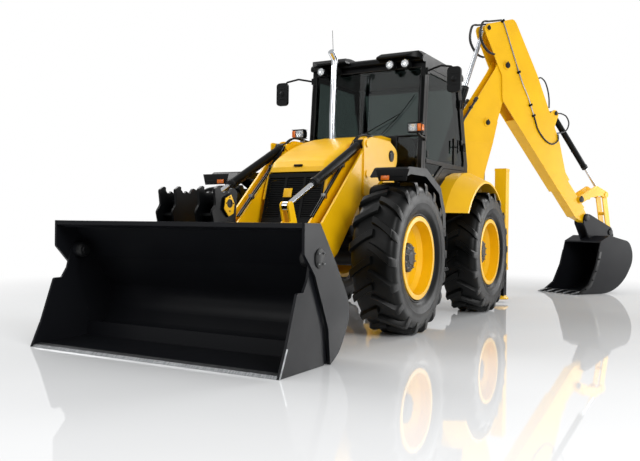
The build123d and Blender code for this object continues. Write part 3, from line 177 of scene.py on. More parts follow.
BOWL = material("lamp bowl", "#f2f4f6", "#dfe3e6", (0.06, 0.12), 1.0, grain=90, bump=0.2)
AMBER = material("amber lens", "#f07a08", "#e06a04", (0.08, 0.14), grain=260, bump=0.4,
                 Transmission_Weight=0.3)
MIRROR = material("mirror glass", "#cfd6da", "#c6cdd2", (0.02, 0.04), 1.0, bump=0)
FLOOR = material("floor", "#e8e9ea", "#e6e7e8", (0.025, 0.035), patch=0.6, bump=0, Specular_IOR_Level=1.0)

NODE_MATERIALS = {
    "yellow": YELLOW, "black": FRAME, "grille": GREY, "chrome": CHROME, "glass": GLASS, "trim": PLASTIC,
    "engine": CAST, "tyre": RUBBER, "hose": HOSE,
}
SPECIAL = {
    "bucket_shell": BUCKET, "bucket_clam": BUCKET, "tool_carrier": BLACK, "hoe_bucket": BUCKET,
    "cab_shell": BLACK, "cab_roof": BLACK, "radiator_grille": BLACK, "door_left": BLACK, "door_right": BLACK,
    "front_fenders": BLACK, "lamps_and_mirrors": PLASTIC,
    "lift_ram_barrel": BLACK, "tilt_ram_barrel": BLACK, "boom_ram_barrel": BLACK, "dipper_ram_barrel": BLACK,
    "bucket_ram_barrel": BLACK, "axles": CAST, "stabiliser_left": BLACK, "stabiliser_right": BLACK,
}
SLOTS = {entry["node"]: entry["material_slot"] for entry in frame["record"]["subparts"]}
for name, obj in frame["nodes"].items():
    chosen = SPECIAL.get(name, NODE_MATERIALS[SLOTS[name]])
    for slot in obj.material_slots:
        slot.material = chosen


# Pieces
def smooth(points, steps=8):
    """Points of a smooth line through the given ones."""
    pts = [Vector(p) for p in points]
    line = []
    for i in range(len(pts) - 1):
        a, b, c, d = pts[max(i - 1, 0)], pts[i], pts[i + 1], pts[min(i + 2, len(pts) - 1)]
        for k in range(steps):
            t = k / steps
            line.append(0.5 * (2 * b + (c - a) * t + (2 * a - 5 * b + 4 * c - d) * t * t
                               + (3 * b - a - 3 * c + d) * t ** 3))
    line.append(pts[-1])
    return line


def circle(centre, side, other, radius, around):
    """Points of a circle in the plane of two directions."""
    turns = [2 * pi * k / around for k in range(around)]
    return [centre + (side * cos(a) + other * sin(a)) * radius for a in turns]


class Piece:
    """Collects simple shapes in one mesh."""

    def __init__(self):
        self.bm = bmesh.new()

    def shell(self, rings, closed=True, caps=True):
        """Skin over rings of points; closed joins each ring's last point to its first."""
        rows = [[self.bm.verts.new(p) for p in ring] for ring in rings]
        count = len(rows[0])
        for a, b in zip(rows, rows[1:]):
            for i in range(count if closed else count - 1):
                j = (i + 1) % count
                self.bm.faces.new((a[i], a[j], b[j], b[i]))
        if caps:
            self.bm.faces.new(rows[0][::-1])
            self.bm.faces.new(rows[-1])
        return rows

    def box(self, low, high, bevel=0.004):
        made = bmesh.ops.create_cube(self.bm, size=1)["verts"]
        low, high = Vector(low), Vector(high)
        for v in made:
            v.co = Vector([(low[i] + high[i]) / 2 + v.co[i] * (high[i] - low[i]) for i in range(3)])
        if bevel:
            edges = list({e for v in made for e in v.link_edges})
            bmesh.ops.bevel(self.bm, geom=edges, offset=bevel, segments=2, profile=0.5, affect="EDGES")

    def plate(self, corners, axis, start, end, bevel=0.003):
        """Plate with the outline corners, between two distances along the axis."""
        def at(c, d):
            return {"x": (d, c[0], c[1]), "y": (c[0], d, c[1]), "z": (c[0], c[1], d)}[axis]
        rows = self.shell([[at(c, start) for c in corners], [at(c, end) for c in corners]])
        if bevel:
            edges = list({e for row in rows for v in row for e in v.link_edges})
            bmesh.ops.bevel(self.bm, geom=edges, offset=bevel, segments=2, profile=0.5, affect="EDGES")

    def turned(self, profile, origin, direction, around=40, caps=False):
        """Profile of (radius, distance) turned about the direction."""
        axis = Vector(direction).normalized()
        side = axis.orthogonal().normalized()
        other = axis.cross(side)
        rings = []
        for radius, along in profile:
            centre = Vector(origin) + axis * along
            rings.append(circle(centre, side, other, radius, around))
        self.shell(rings, True, caps)

    def rod(self, start, end, radius, around=20, edge=0.002):
        axis = Vector(end) - Vector(start)
        long = axis.length
        self.turned([(radius - edge, 0), (radius, edge), (radius, long - edge), (radius - edge, long)],
                    start, axis, around, True)

    def nut(self, at, direction, across=0.012, high=0.010, washer=True):
        if washer:
            self.turned([(across * 1.25, 0), (across * 1.25, 0.0022), (across, 0.003)], at, direction, 16,
                        True)
        self.turned([(across, 0.0005), (across, high - 0.002), (across * 0.86, high)], at, direction, 6,
                    True)
        self.turned([(across * 0.5, high - 0.001), (across * 0.5, high + 0.005),
                     (across * 0.4, high + 0.006)],
                    at, direction, 12, True)

    def tube(self, points, radius, around=12, steps=8):
        """Round pipe on a smooth line through the points."""
        line = smooth(points, steps)
        ahead = (line[1] - line[0]).normalized()
        side = ahead.orthogonal().normalized()
        rings = []
        for i, p in enumerate(line):
            new = (line[min(i + 1, len(line) - 1)] - line[max(i - 1, 0)]).normalized()
            side = (side - new * side.dot(new)).normalized()
            other = new.cross(side)
            rings.append(circle(p, side, other, radius, around))
        self.shell(rings)

    def moved(self, matrix, start=0):
        self.bm.verts.ensure_lookup_table()
        for v in self.bm.verts[start:]:
            v.co = matrix @ v.co

    def put(self, name, mat, body, slot, replaces=None, angle=35):
        """Turn what was collected into an object that rides on a body."""
        bmesh.ops.recalc_face_normals(self.bm, faces=self.bm.faces)
        mesh = bpy.data.meshes.new(name)
        self.bm.to_mesh(mesh)
        self.bm.free()
        mesh.polygons.foreach_set("use_smooth", [True] * len(mesh.polygons))
        mesh.set_sharp_from_angle(angle=radians(angle))
        mesh.materials.append(mat)
        obj = bpy.data.objects.new(name, mesh)
        bpy.context.scene.collection.objects.link(obj)
        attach(obj, body)
        if replaces:
            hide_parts(replaces)
        return obj


# Wheels
LUG_ROWS = [  # y, radius of the top, radius of the foot
    (-0.014, 0.705, 0.655), (0.020, 0.705, 0.655), (0.060, 0.705, 0.655), (0.100, 0.705, 0.655),
    (0.140, 0.705, 0.652), (0.172, 0.704, 0.645), (0.188, 0.701, 0.635), (0.199, 0.690, 0.615),
    (0.206, 0.665, 0.600), (0.212, 0.635, 0.590), (0.2155, 0.606, 0.588),
]


def tyre_piece(corner, x, s):
    p = Piece()
    half = [(0.3575, 0.160), (0.366, 0.1635), (0.389, 0.1665), (0.400, 0.1760), (0.408, 0.1765),
            (0.414, 0.1710), (0.440, 0.1990), (0.470, 0.2100), (0.505, 0.2145), (0.510, 0.2170),
            (0.516, 0.2170), (0.521, 0.2148), (0.560, 0.2152), (0.595, 0.2135), (0.622, 0.2060),
            (0.645, 0.1940), (0.660, 0.1760), (0.667, 0.1400),
            (0.669, 0.0700)]
    profile = half + [(r, -y) for r, y in reversed(half)]
    p.turned(profile, (0, 0, 0), (0, 1, 0), 120)
    for side in (1, -1):
        for i in range(18):
            start = 2 * pi * (i + (0 if side > 0 else 0.5)) / 18
            rings = []
            for y, top, foot in LUG_ROWS:
                run = (y + 0.014) / 0.23
                middle = start + (0.150 * run ** 1.25) / 0.69
                half_top = (0.031 + 0.004 * run) / 0.69
                half_foot = half_top + 0.010 / 0.69
                ring = [(middle - half_foot, foot), (middle - half_top, top - 0.006),
                        (middle - half_top + 0.006, top),
                        (middle + half_top - 0.006, top), (middle + half_top, top - 0.006),
                        (middle + half_foot, foot)]
                rings.append([(r * sin(a), y * side, r * cos(a)) for a, r in ring])
            p.shell(rings)
    p.moved(Matrix.Translation((x, s * HALF_TRACK, AXLE_Z)))
    p.put(f"tyre_tread_{corner}", RUBBER, f"wheel_{corner}", "tyre", f"tyre_{corner}", 32)


def wheel_details(corner, x, s):
    centre = Vector((x, s * HALF_TRACK, AXLE_Z))
    out = Vector((0, s, 0))
    hub = Piece()
    hub.turned([(0.136, 0.0175), (0.1375, 0.024), (0.1375, 0.074), (0.133, 0.083), (0.120, 0.0890),
                (0.104, 0.0935),
                (0.092, 0.0955), (0.084, 0.0990), (0.066, 0.1000), (0.063, 0.1045), (0.040, 0.1060),
                (0.0, 0.1062)],
               centre, out, 56)
    hub.put(f"hub_cover_{corner}", CAST, f"wheel_{corner}", "black")
    nuts = Piece()
    for k in range(10):
        a = 2 * pi * k / 10
        spot = centre + Vector((sin(a), 0, cos(a))) * 0.1120 + out * 0.0900
        nuts.nut(spot, out, 0.0095, 0.010)
    for k in range(8):
        a = 2 * pi * (k + 0.5) / 8
        spot = centre + Vector((sin(a), 0, cos(a))) * 0.0740 + out * 0.0985
        nuts.nut(spot, out, 0.0060, 0.005, False)
    nuts.put(f"wheel_nuts_{corner}", BOLT, f"wheel_{corner}", "chrome")
    ring = Piece()
    ring.turned([(0.343, 0.1655), (0.343, 0.1835), (0.372, 0.1845), (0.386, 0.1795), (0.3865, 0.1655)],
                centre, out, 96)
    valve = centre + Vector((0.315 * sin(0.4), 0, 0.315 * cos(0.4))) + out * 0.02
    ring.rod(valve, valve + out * 0.06, 0.006)
    ring.put(f"rim_lip_{corner}", YELLOW, f"wheel_{corner}", "yellow")


for corner, x, s in CORNERS:
    tyre_piece(corner, x, s)
    wheel_details(corner, x, s)


# Cab
def cab_details():
    lens, bowl = Piece(), Piece()
    for y in ROOF_LAMPS_Y:
        face = (1.1505, y, ROOF_LAMPS_Z)
        bowl.turned([(0.0, 0.0), (0.020, 0.0006), (0.034, 0.002), (0.0440, 0.0045)], face, (1, 0, 0), 36)
        lens.turned([(0.0445, 0.005), (0.0440, 0.008), (0.032, 0.0115), (0.014, 0.0130), (0.0, 0.0132)],
                    face,
                    (1, 0, 0), 36)
    bowl.put("roof_lamp_bowls", BOWL, "chassis", "chrome")
    lens.put("roof_lamp_lenses", LENS, "chassis", "glass")

    rims = Piece()
    for y in ROOF_LAMPS_Y:
        rims.turned([(0.0483, -0.020), (0.0505, -0.018), (0.0505, 0.010), (0.0455, 0.0125), (0.0450, 0.005)],
                    (1.1505, y, ROOF_LAMPS_Z), (1, 0, 0), 40)
    rims.put("roof_lamp_rims", PLASTIC, "chassis", "black")

    faces, glow, amber, casing = Piece(), Piece(), Piece(), Piece()
    for s in (1, -1):
        y0, y1 = sorted((s * 0.652, s * 0.748))
        faces.box((1.333, y0, 2.002), (1.338, y1, 2.082), 0.002)
        glow.turned([(0.0, 0.0), (0.024, 0.0035), (0.036, 0.0065)], (1.3325, s * 0.700, 2.042), (1, 0, 0),
                    32)
        y0, y1 = sorted((s * 0.754, s * 0.796))
        amber.box((1.333, y0, 2.004), (1.339, y1, 2.080), 0.003)
        y0, y1 = sorted((s * 0.790, s * 0.806))
        amber.box((1.272, y0, 2.010), (1.326, y1, 2.074), 0.004)
        y0, y1 = sorted((s * 0.640, s * 0.800))
        casing.box((1.256, y0 - 0.002, 2.088), (1.342, y1 + 0.002, 2.094), 0.002)
        casing.box((1.256, y0 - 0.002, 1.991), (1.342, y1 + 0.002, 1.997), 0.002)
    glow.put("head_lamp_bowls", BOWL, "chassis", "chrome")
    faces.put("head_lamp_lenses", LENS, "chassis", "glass")
    amber.put("indicator_lenses", AMBER, "chassis", "glass")
    casing.put("head_lamp_casings", PLASTIC, "chassis", "black")

    mirrors, backs = Piece(), Piece()
    for s in (1, -1):
        y0, y1 = sorted((s * 1.012, s * 1.138))
        mirrors.box((1.0905, y0, 2.436), (1.0945, y1, 2.674), 0.002)
        backs.turned([(0.0, 0.012), (0.020, 0.011), (0.030, 0.004), (0.031, 0.0)],
                     (1.1350, s * 1.075, 2.560), (1, 0, 0), 24)
        for z in (2.500, 2.620):
            backs.box((1.1345, min(s * 1.03, s * 1.12), z - 0.004),
                      (1.1385, max(s * 1.03, s * 1.12), z + 0.004), 0.0015)
    mirrors.put("mirror_faces", MIRROR, "chassis", "chrome")
    backs.put("mirror_backs", PLASTIC, "chassis", "black")

    # Wiper, antenna and rails in front of the windscreen
    front = Piece()

    def glass_x(z):
        return 1.108 - 0.093 * (z - 1.7) / 1.1

    front.rod((glass_x(2.03) + 0.004, 0.02, 2.03), (glass_x(2.03) + 0.034, 0.02, 2.03), 0.016)
    front.tube([(glass_x(2.03) + 0.024, 0.02, 2.03), (glass_x(2.10) + 0.020, 0.20, 2.12),
                (glass_x(2.24) + 0.012, 0.44, 2.24)], 0.006, 8, 4)
    front.tube([(glass_x(2.02) + 0.006, 0.22, 2.02), (glass_x(2.24) + 0.004, 0.44, 2.24),
                (glass_x(2.44) + 0.006, 0.60, 2.44)], 0.005, 8, 4)
    front.rod((1.0, -0.45, 2.91), (1.0, -0.45, 2.950), 0.014)
    front.rod((1.0, -0.45, 2.945), (1.03, -0.45, 3.27), 0.003, 8, 0.0005)
    for s in (1, -1):
        front.tube([(1.090, s * 0.665, 2.030), (1.112, s * 0.672, 2.060), (1.098, s * 0.672, 2.320),
                    (1.074, s * 0.672, 2.600), (1.048, s * 0.665, 2.640)], 0.011, 12, 6)
    front.put("wiper_and_rails", PLASTIC, "chassis", "black")

    # Rubber round the fixed panes
    seal = Piece()
    frames = [(-PANE_HALF, PANE_HALF, 1.99, PANE_TOP)]
    frames += [tuple(sorted((s * 0.40, s * PANE_HALF))) + (1.56, 1.99) for s in (1, -1)]
    for y0, y1, z0, z1 in frames:
        corners = [(y0, z0), (y1, z0), (y1, z1), (y0, z1)]
        for (ya, za), (yb, zb) in zip(corners, corners[1:] + corners[:1]):
            seal.rod((glass_x(za) - 0.010, ya, za), (glass_x(zb) - 0.010, yb, zb), 0.009, 8, 0.001)
    seal.put("pane_seals", SEAL, "chassis", "black")

    # Ribs pressed in the lid between the roof's hoods
    roof = Piece()
    for y in (-0.12, 0.0, 0.12):
        roof.box((-0.05, y - 0.03, 2.884), (0.88, y + 0.03, 2.8975), 0.005)
    roof.put("roof_ribs", BLACK, "chassis", "black")

    for name, s in SIDES:
        body = f"door_{name}"
        trim = Piece()
        y0, y1 = sorted((s * 0.708, s * 0.722))
        for x, z in ((-0.300, 1.985), (-0.145, 2.500)):
            trim.box((x - 0.030, y0, z - 0.045), (x + 0.045, max(y1, y0 + 0.008), z + 0.045), 0.004)
            trim.rod((x - 0.012, s * 0.722, z - 0.050), (x + 0.018, s * 0.722, z + 0.050), 0.011)
        trim.turned([(0.030, 0.0), (0.030, 0.006), (0.022, 0.012), (0.0, 0.013)], (-0.216, s * 0.704, 2.035),
                    (0, s, 0), 28)
        trim.box((0.930, y0, 1.755), (0.966, y1, 1.835), 0.004)
        trim.put(f"door_fittings_{name}", PLASTIC, body, "black")


def seat_and_controls():
    seat = Piece()
    seat.box((0.095, -0.225, 1.505), (0.565, 0.225, 1.590), 0.035)
    seat.put("seat_cushion", FABRIC, "chassis", "trim")
    back = Piece()
    rings = []
    for k in range(13):
        t = k / 12
        z = 1.56 + 0.56 * t
        x = 0.115 - 0.130 * t
        wide = 0.215 - 0.030 * (2 * t - 1) ** 2 - 0.06 * max(0, t - 0.8) / 0.2
        deep = 0.045 * (1 - (2 * t - 1) ** 6) + 0.006
        rings.append([(x + 0.05 + deep * cos(a) * (1 if cos(a) > 0 else 0.5), wide * sin(a), z)
                      for a in [2 * pi * j / 28 for j in range(28)]])
    back.shell(rings)
    back.put("seat_back_pad", FABRIC, "chassis", "trim")
    panel = Piece()
    panel.plate([(0.86, 1.62), (0.99, 1.60), (0.97, 1.70), (0.90, 1.73)], "y", -0.17, 0.17, 0.006)
    for s in (1, -1):
        panel.box((0.14, s * 0.275 - 0.045, 1.680), (0.43, s * 0.275 + 0.045, 1.712), 0.012)
    panel.put("dash_panel", PLASTIC, "chassis", "trim")


# Engine hood and grille
def grille_x(z):
    """Face of the sloping grille at a height."""
    return 2.5257 + (1.500 - z) * 0.2917


def hood_details():
    seams = Piece()
    for s in (1, -1):
        y = s * 0.3502
        seams.plate([(1.60, 1.500), (2.30, 1.500), (2.36, 1.420), (2.36, 1.330), (1.60, 1.330)], "y",
                    *sorted((y - s * 0.004, y + s * 0.003)), bevel=0.002)
    seams.put("hood_side_vents", GREY, "hood", "grille")
    fins = Piece()
    for s in (1, -1):
        for k in range(8):
            z = 1.345 + k * 0.018
            fins.plate([(1.63, z), (2.325, z), (2.325, z + 0.008), (1.63, z + 0.008)], "y",
                       *sorted((s * 0.352, s * 0.359)), bevel=0.0015)
    fins.put("hood_vent_slats", PLASTIC, "hood", "grille")
    latch = Piece()
    latch.box((2.486, -0.045, 1.560), (2.512, 0.045, 1.584), 0.005)
    latch.put("hood_handle", PLASTIC, "hood", "black")
    badge = Piece()
    foot, head = grille_x(1.262), grille_x(1.348)
    badge.plate([(foot - 0.001, 1.262), (foot + 0.010, 1.262), (head + 0.010, 1.348), (head - 0.001, 1.348)],
                "y",
                -0.108, -0.016, 0.003)
    badge.put("blank_badge", YELLOW, "chassis", "yellow")


# Guards, steps and tanks
def guard_details():
    lamp, base = Piece(), Piece()
    for s in (1, -1):
        base.plate([(s * 0.830, 1.512), (s * 0.860, 1.405), (s * 1.130, 1.402), (s * 1.160, 1.512)], "x",
                   2.497, 2.505, 0.003)
        base.box((2.480, min(s * 0.880, s * 0.974), 1.408), (2.509, max(s * 0.880, s * 0.974), 1.458), 0.004)
        y0, y1 = sorted((s * 0.886, s * 0.968))
        lamp.box((2.507, y0, 1.412), (2.517, y1, 1.454), 0.004)
    base.put("guard_lamp_bases", PLASTIC, "chassis", "black")
    lamp.put("guard_lamps", AMBER, "chassis", "glass")
    tread, rivets = Piece(), Piece()
    for s in (1, -1):
        for z, reach in ((0.9335, 0.930), (0.5485, 0.960)):
            for k in range(7):
                x = 0.905 + k * 0.052
                y0, y1 = sorted((s * 0.715, s * (reach - 0.008)))
                tread.box((x, y0, z), (x + 0.018, y1, z + 0.006), 0.002)
        y0, y1 = sorted((s * 0.699, s * 0.7035))
        for z in (0.72, 0.86):
            rivets.box((0.875, y0, z - 0.012), (1.255, y1, z + 0.012), 0.001)
        rivets.turned([(0.048, 0.0), (0.048, 0.018), (0.040, 0.024), (0.0, 0.025)], (1.18, s * 0.56, 0.989),
                      (0, 0, 1), 32)
    tread.put("step_treads", STEEL, "chassis", "chrome")
    rivets.put("tank_straps", BLACK, "chassis", "black")
    flaps = Piece()
    for s in (1, -1):
        y0, y1 = sorted((s * 0.800, s * 1.085))
        flaps.plate([(1.399, 0.903), (1.399, 0.760), (1.405, 0.760), (1.405, 0.903)], "y", y0, y1, 0.001)
    flaps.put("mud_flaps", SEAL, "chassis", "black")


# Loader
PIVOTS = {  # point of the side view: radius of the pin's cover, body, how far out of the arm's middle
    "arm_pivot": ((1.500, 1.730), 0.060, "loader_arms", 0.0755),
    "lever_pivot": ((3.300, 0.800), 0.046, "loader_arms", 0.0755),
    "bucket_pivot": ((3.550, 0.330), 0.046, "loader_arms", 0.0755),
}


def loader_details():
    covers, nuts = Piece(), Piece()
    for (x, z), radius, body, out in PIVOTS.values():
        for s in (1, -1):
            for side in (1, -1):
                at = (x, s * 0.455 + side * out, z)
                aim = (0, side, 0)
                covers.turned([(radius, -0.0004), (radius, 0.006), (radius * 0.9, 0.009),
                               (radius * 0.72, 0.0095),
                               (radius * 0.70, 0.0125), (0.0, 0.0128)], at, aim, 36)
                for k in range(3):
                    a = 2 * pi * k / 3 + 0.5
                    spot = Vector(at) + Vector((cos(a), 0, sin(a))) * radius * 0.82 + Vector(aim) * 0.0085
                    nuts.nut(spot, aim, 0.006, 0.005, False)
    covers.put("pin_covers", BLACK, "loader_arms", "black")
    nuts.put("pin_bolts", BOLT, "loader_arms", "chrome")

    # Steel pipes along the top edge of each arm, held by clips
    pipes, clips = Piece(), Piece()
    for s in (1, -1):
        for y in (0.392, 0.414):
            route = [(1.62, 1.905), (1.98, 1.900), (2.24, 1.700), (2.42, 1.520), (2.66, 1.305),
                     (2.92, 1.070)]
            pipes.tube([(x, s * y, z) for x, z in route], 0.009, 10, 8)
        for x, z in ((1.75, 1.896), (2.36, 1.572), (2.70, 1.262)):
            y0, y1 = sorted((s * 0.380, s * 0.428))
            clips.box((x - 0.018, y0, z - 0.020), (x + 0.018, y1, z + 0.028), 0.004)
    pipes.put("arm_pipes", BLACK, "loader_arms", "black")
    clips.put("arm_pipe_clips", BOLT, "loader_arms", "chrome")

    # Edge of the jaw's floor and of its cheeks, worn to the metal
    lip = Piece()
    lip.plate([(4.548, 0.0200), (4.6180, 0.0175), (4.6370, 0.0010), (4.6398, 0.0010), (4.6190, 0.0208),
               (4.548, 0.0240)],
              "y", -1.176, 1.176, 0.0)
    for s in (1, -1):
        y0, y1 = sorted((s * 1.1775, s * 1.1800))
        lip.plate([(4.640, 0.002), (4.553, 0.188), (4.538, 0.184), (4.622, 0.002)], "y", y0, y1, 0.0)
    lip.put("worn_lip", STEEL, "bucket_clam", "chrome")

    bosses, bolts = Piece(), Piece()
    for s in (1, -1):
        at = (4.177, s * 1.113, 0.767)
        bosses.turned([(0.062, 0.0), (0.062, 0.030), (0.050, 0.044), (0.034, 0.046), (0.032, 0.056),
                       (0.0, 0.057)],
                      at, (0, -s, 0), 36)
    at_out = Vector((4.177, 1.2052, 0.767))
    bosses.turned([(0.070, 0.0), (0.070, 0.006), (0.060, 0.010), (0.0, 0.0105)], at_out, (0, 1, 0), 36)
    for k in range(4):
        a = pi / 4 + k * pi / 2
        bolts.nut(at_out + Vector((cos(a) * 0.052, 0.0095, sin(a) * 0.052)), (0, 1, 0), 0.008, 0.007, False)
    bosses.put("jaw_bosses", CAST, "front_bucket", "black")
    bolts.put("jaw_bolts", BOLT, "front_bucket", "chrome")

    # Bolted eyes on the yellow plates of the tool carrier's towers
    plates, eyes = Piece(), Piece()
    outline = [(3.985, 1.232), (3.938, 1.160), (3.952, 1.075), (4.015, 1.050), (4.078, 1.110),
               (4.062, 1.200)]
    middle = Vector((4.008, 1.140))
    x, z = CARRIER_EYE
    for s in (1, -1):
        face = s * 0.2972
        y0, y1 = sorted((face, face + s * 0.006))
        inner = [tuple(middle + (Vector(c) - middle) * 0.93) for c in outline]
        plates.plate(inner, "y", y0, y1, 0.002)
        eyes.turned([(0.034, 0.0), (0.034, 0.004), (0.024, 0.005), (0.022, 0.0015), (0.0, 0.0015)],
                    (x, face + s * 0.006, z), (0, s, 0), 28)
        for dx, dz in ((-0.046, 0.0), (0.046, 0.0), (0.0, 0.048), (0.0, -0.060)):
            eyes.nut((x + dx, face + s * 0.006, z + dz), (0, s, 0), 0.0055, 0.005, False)
    plates.put("carrier_plates", YELLOW, "front_bucket", "yellow")
    eyes.put("carrier_eyes", CAST, "front_bucket", "black")


# Backhoe
def hoe_frame():
    """Turns what is drawn at (r, y, z) into the machine's frame."""
    return Matrix.Translation((-1.4, 0.2, 0)) @ Matrix.Rotation(SLEW, 4, "Z")


HOE_PINS = {  # name: (r, z), half length to the cover, radius, body
    "boom_foot": ((0.250, 0.900), 0.1282, 0.056, "kingpost"),
    "boom_ram_base": ((0.430, 0.640), 0.0942, 0.046, "kingpost"),
    "boom_ram_pin": ((0.500, 2.490), 0.1122, 0.036, "boom"),
    "dipper_pivot": (DIPPER_PIVOT, 0.1232, 0.042, "boom"),
    "dipper_ram_base": ((-0.260, 1.820), 0.0822, 0.044, "boom"),
    "dipper_ram_pin": ((0.490, 3.835), 0.1142, 0.032, "dipper"),
    "crank_pivot": ((2.360, 1.440), 0.1112, 0.046, "dipper_inner"),
    "bucket_ram_base": ((1.840, 2.730), 0.0762, 0.032, "dipper_inner"),
    "bucket_pivot": ((2.490, 1.160), 0.1042, 0.050, "hoe_bucket"),
    "link_pin": ((3.010, 0.940), 0.1042, 0.046, "hoe_bucket"),
}


def on_dipper(a, b):
    """Place (r, z) of a point a along the dipper's tube and b across it."""
    return (DIPPER_PIVOT[0] + a * cos(DIPPER_LEAN) - b * sin(DIPPER_LEAN),
            DIPPER_PIVOT[1] + a * sin(DIPPER_LEAN) + b * cos(DIPPER_LEAN))


# Routes (r, z) of the polished pipe on the dipper's cheeks and of the hose that goes on from it
DIPPER_PIPE = [(0.735, 3.980), (0.784, 3.888), (0.984, 3.432), (1.120, 3.128), (1.240, 2.920),
               (1.304, 2.776),
               (1.364, 2.636)]
DIPPER_PIPE_Y = 0.1155
CHEEK_HOSE = [(1.350, 2.665), (1.385, 2.590), (1.448, 2.448), (1.588, 2.308), (1.728, 2.256), (1.845, 2.315),
              (1.842, 2.412)]
TOP_BUNDLE = [(0.594, 3.470), (0.500, 3.490), (0.410, 3.560), (0.345, 3.670), (0.340, 3.790), (0.385, 3.905),
              (0.480, 3.925), (0.600, 3.950), (0.705, 3.973)]
EDGE_LOOP = [on_dipper(a, b) for a, b in ((0.500, 0.383), (0.530, 0.430), (0.620, 0.450), (0.740, 0.415),
                                          (0.860, 0.348), (0.960, 0.262))]
RAM_LOOP = [on_dipper(a, b) for a, b in ((1.155, 0.395), (1.200, 0.445), (1.290, 0.495), (1.400, 0.470),
                                         (1.450, 0.360), (1.400, 0.230), (1.318, 0.110))]


def hose(name, body, route, y, radius=0.011):
    """Hose along (r, z) points in a plane beside the backhoe's own, with both ends on the machine."""
    points = [hoe_frame() @ Vector((r, y, z)) for r, z in route]
    p = Piece()
    p.tube(points, radius, 12, 8)
    obj = p.put(name, HOSE, body, "hose")


def hoe_details():
    for name, ((r, z), half, radius, body) in HOE_PINS.items():
        p = Piece()
        for s in (1, -1):
            at = (r, s * half, z)
            p.turned([(radius, -0.001), (radius, 0.007), (radius * 0.9, 0.0105), (radius * 0.55, 0.011),
                      (radius * 0.52, 0.014), (0.0, 0.0145)], at, (0, s, 0), 36)
            p.box((r - radius * 0.2, *sorted((s * (half + 0.002), s * (half + 0.013)))[:1],
                   z + radius * 0.62),
                  (r + radius * 0.2, sorted((s * (half + 0.002), s * (half + 0.013)))[1], z + radius * 1.25),
                  0.002)
        p.moved(hoe_frame())
        p.put(f"pin_cover_{name}", CAST, body, "black")

    # Polished pipes along both cheeks of the dipper, with their clamps
    pipe, clamps = Piece(), Piece()
    for s in (1, -1):
        pipe.tube([(r, s * DIPPER_PIPE_Y, z) for r, z in DIPPER_PIPE], 0.0095, 10, 8)
        for share in (0.06, 0.42, 0.80, 0.97):
            line = smooth([(r, 0, z) for r, z in DIPPER_PIPE], 20)
            k = int(share * (len(line) - 1))
            lean = (line[min(k + 1, len(line) - 1)] - line[max(k - 1, 0)]).normalized()
            start = len(clamps.bm.verts)
            clamps.box((-0.030, -0.012, -0.016), (0.030, 0.012, 0.016), 0.003)
            turn = Matrix(((lean.z, 0, lean.x), (0, 1, 0), (-lean.x, 0, lean.z))).to_4x4()
            clamps.moved(Matrix.Translation((line[k].x, s * DIPPER_PIPE_Y, line[k].z)) @ turn, start)
    pipe.moved(hoe_frame())
    clamps.moved(hoe_frame())
    pipe.put("dipper_pipes", CHROME, "dipper", "chrome")
    clamps.put("dipper_pipe_clamps", BLACK, "dipper", "black")
    for side, s in SIDES:
        hose(f"cheek_hose_{side}", "dipper", CHEEK_HOSE, s * 0.1165)
        hose(f"top_hose_{side}", "dipper", TOP_BUNDLE, s * 0.1030)
        hose(f"top_hose_outer_{side}", "dipper", TOP_BUNDLE, s * 0.1265)
    hose("edge_loop", "dipper", EDGE_LOOP, -0.0990)
    hose("ram_loop", "dipper_inner", RAM_LOOP, -0.0610)

    # Bucket: tooth adapters and side cutters
    teeth, cutters = Piece(), Piece()
    for i in range(5):
        y = -0.330 + i * 0.165
        teeth.plate([(2.200, 0.046), (2.100, 0.048), (1.985, 0.024), (1.946, 0.010), (1.946, 0.0035),
                     (2.200, 0.0035)],
                    "y", y - 0.026, y + 0.026, 0.003)
    teeth.moved(hoe_frame())
    teeth.put("tooth_tips", STEEL, "hoe_bucket", "chrome")
    for s in (1, -1):
        y0, y1 = sorted((s * 0.3655, s * 0.3760))
        cutters.plate([(2.064, 0.028), (2.270, 0.150), (2.410, 0.420), (2.470, 0.648), (2.520, 0.640),
                       (2.462, 0.403),
                       (2.312, 0.112), (2.140, 0.012)], "y", y0, y1, 0.003)
        for r, z in ((2.195, 0.078), (2.334, 0.215), (2.402, 0.345), (2.466, 0.530)):
            cutters.nut((r, s * 0.3760, z), (0, s, 0), 0.012, 0.010)
    cutters.moved(hoe_frame())
    cutters.put("side_cutters", BLACK, "hoe_bucket", "black")


# Rams: gland rings, end caps and wipers on each barrel
RAM_LINES = {  # barrel's body: base, tip (r or x, z), radius, length of the barrel, place
    "lift_barrels": ((1.780, 0.500), (2.100, 1.506), 0.042, 0.960, "arms"),
    "tilt_barrels": ((2.100, 1.800), (3.425, 1.152), 0.040, 1.000, "arms"),
    "boom_barrel": ((0.430, 0.640), (0.500, 2.490), 0.058, 1.400, "hoe"),
    "dipper_barrel": ((-0.260, 1.820), (0.490, 3.835), 0.050, 1.238, "hoe"),
    "bucket_barrel": ((1.840, 2.730), (2.900, 1.530), 0.042, 1.060, "hoe"),
}


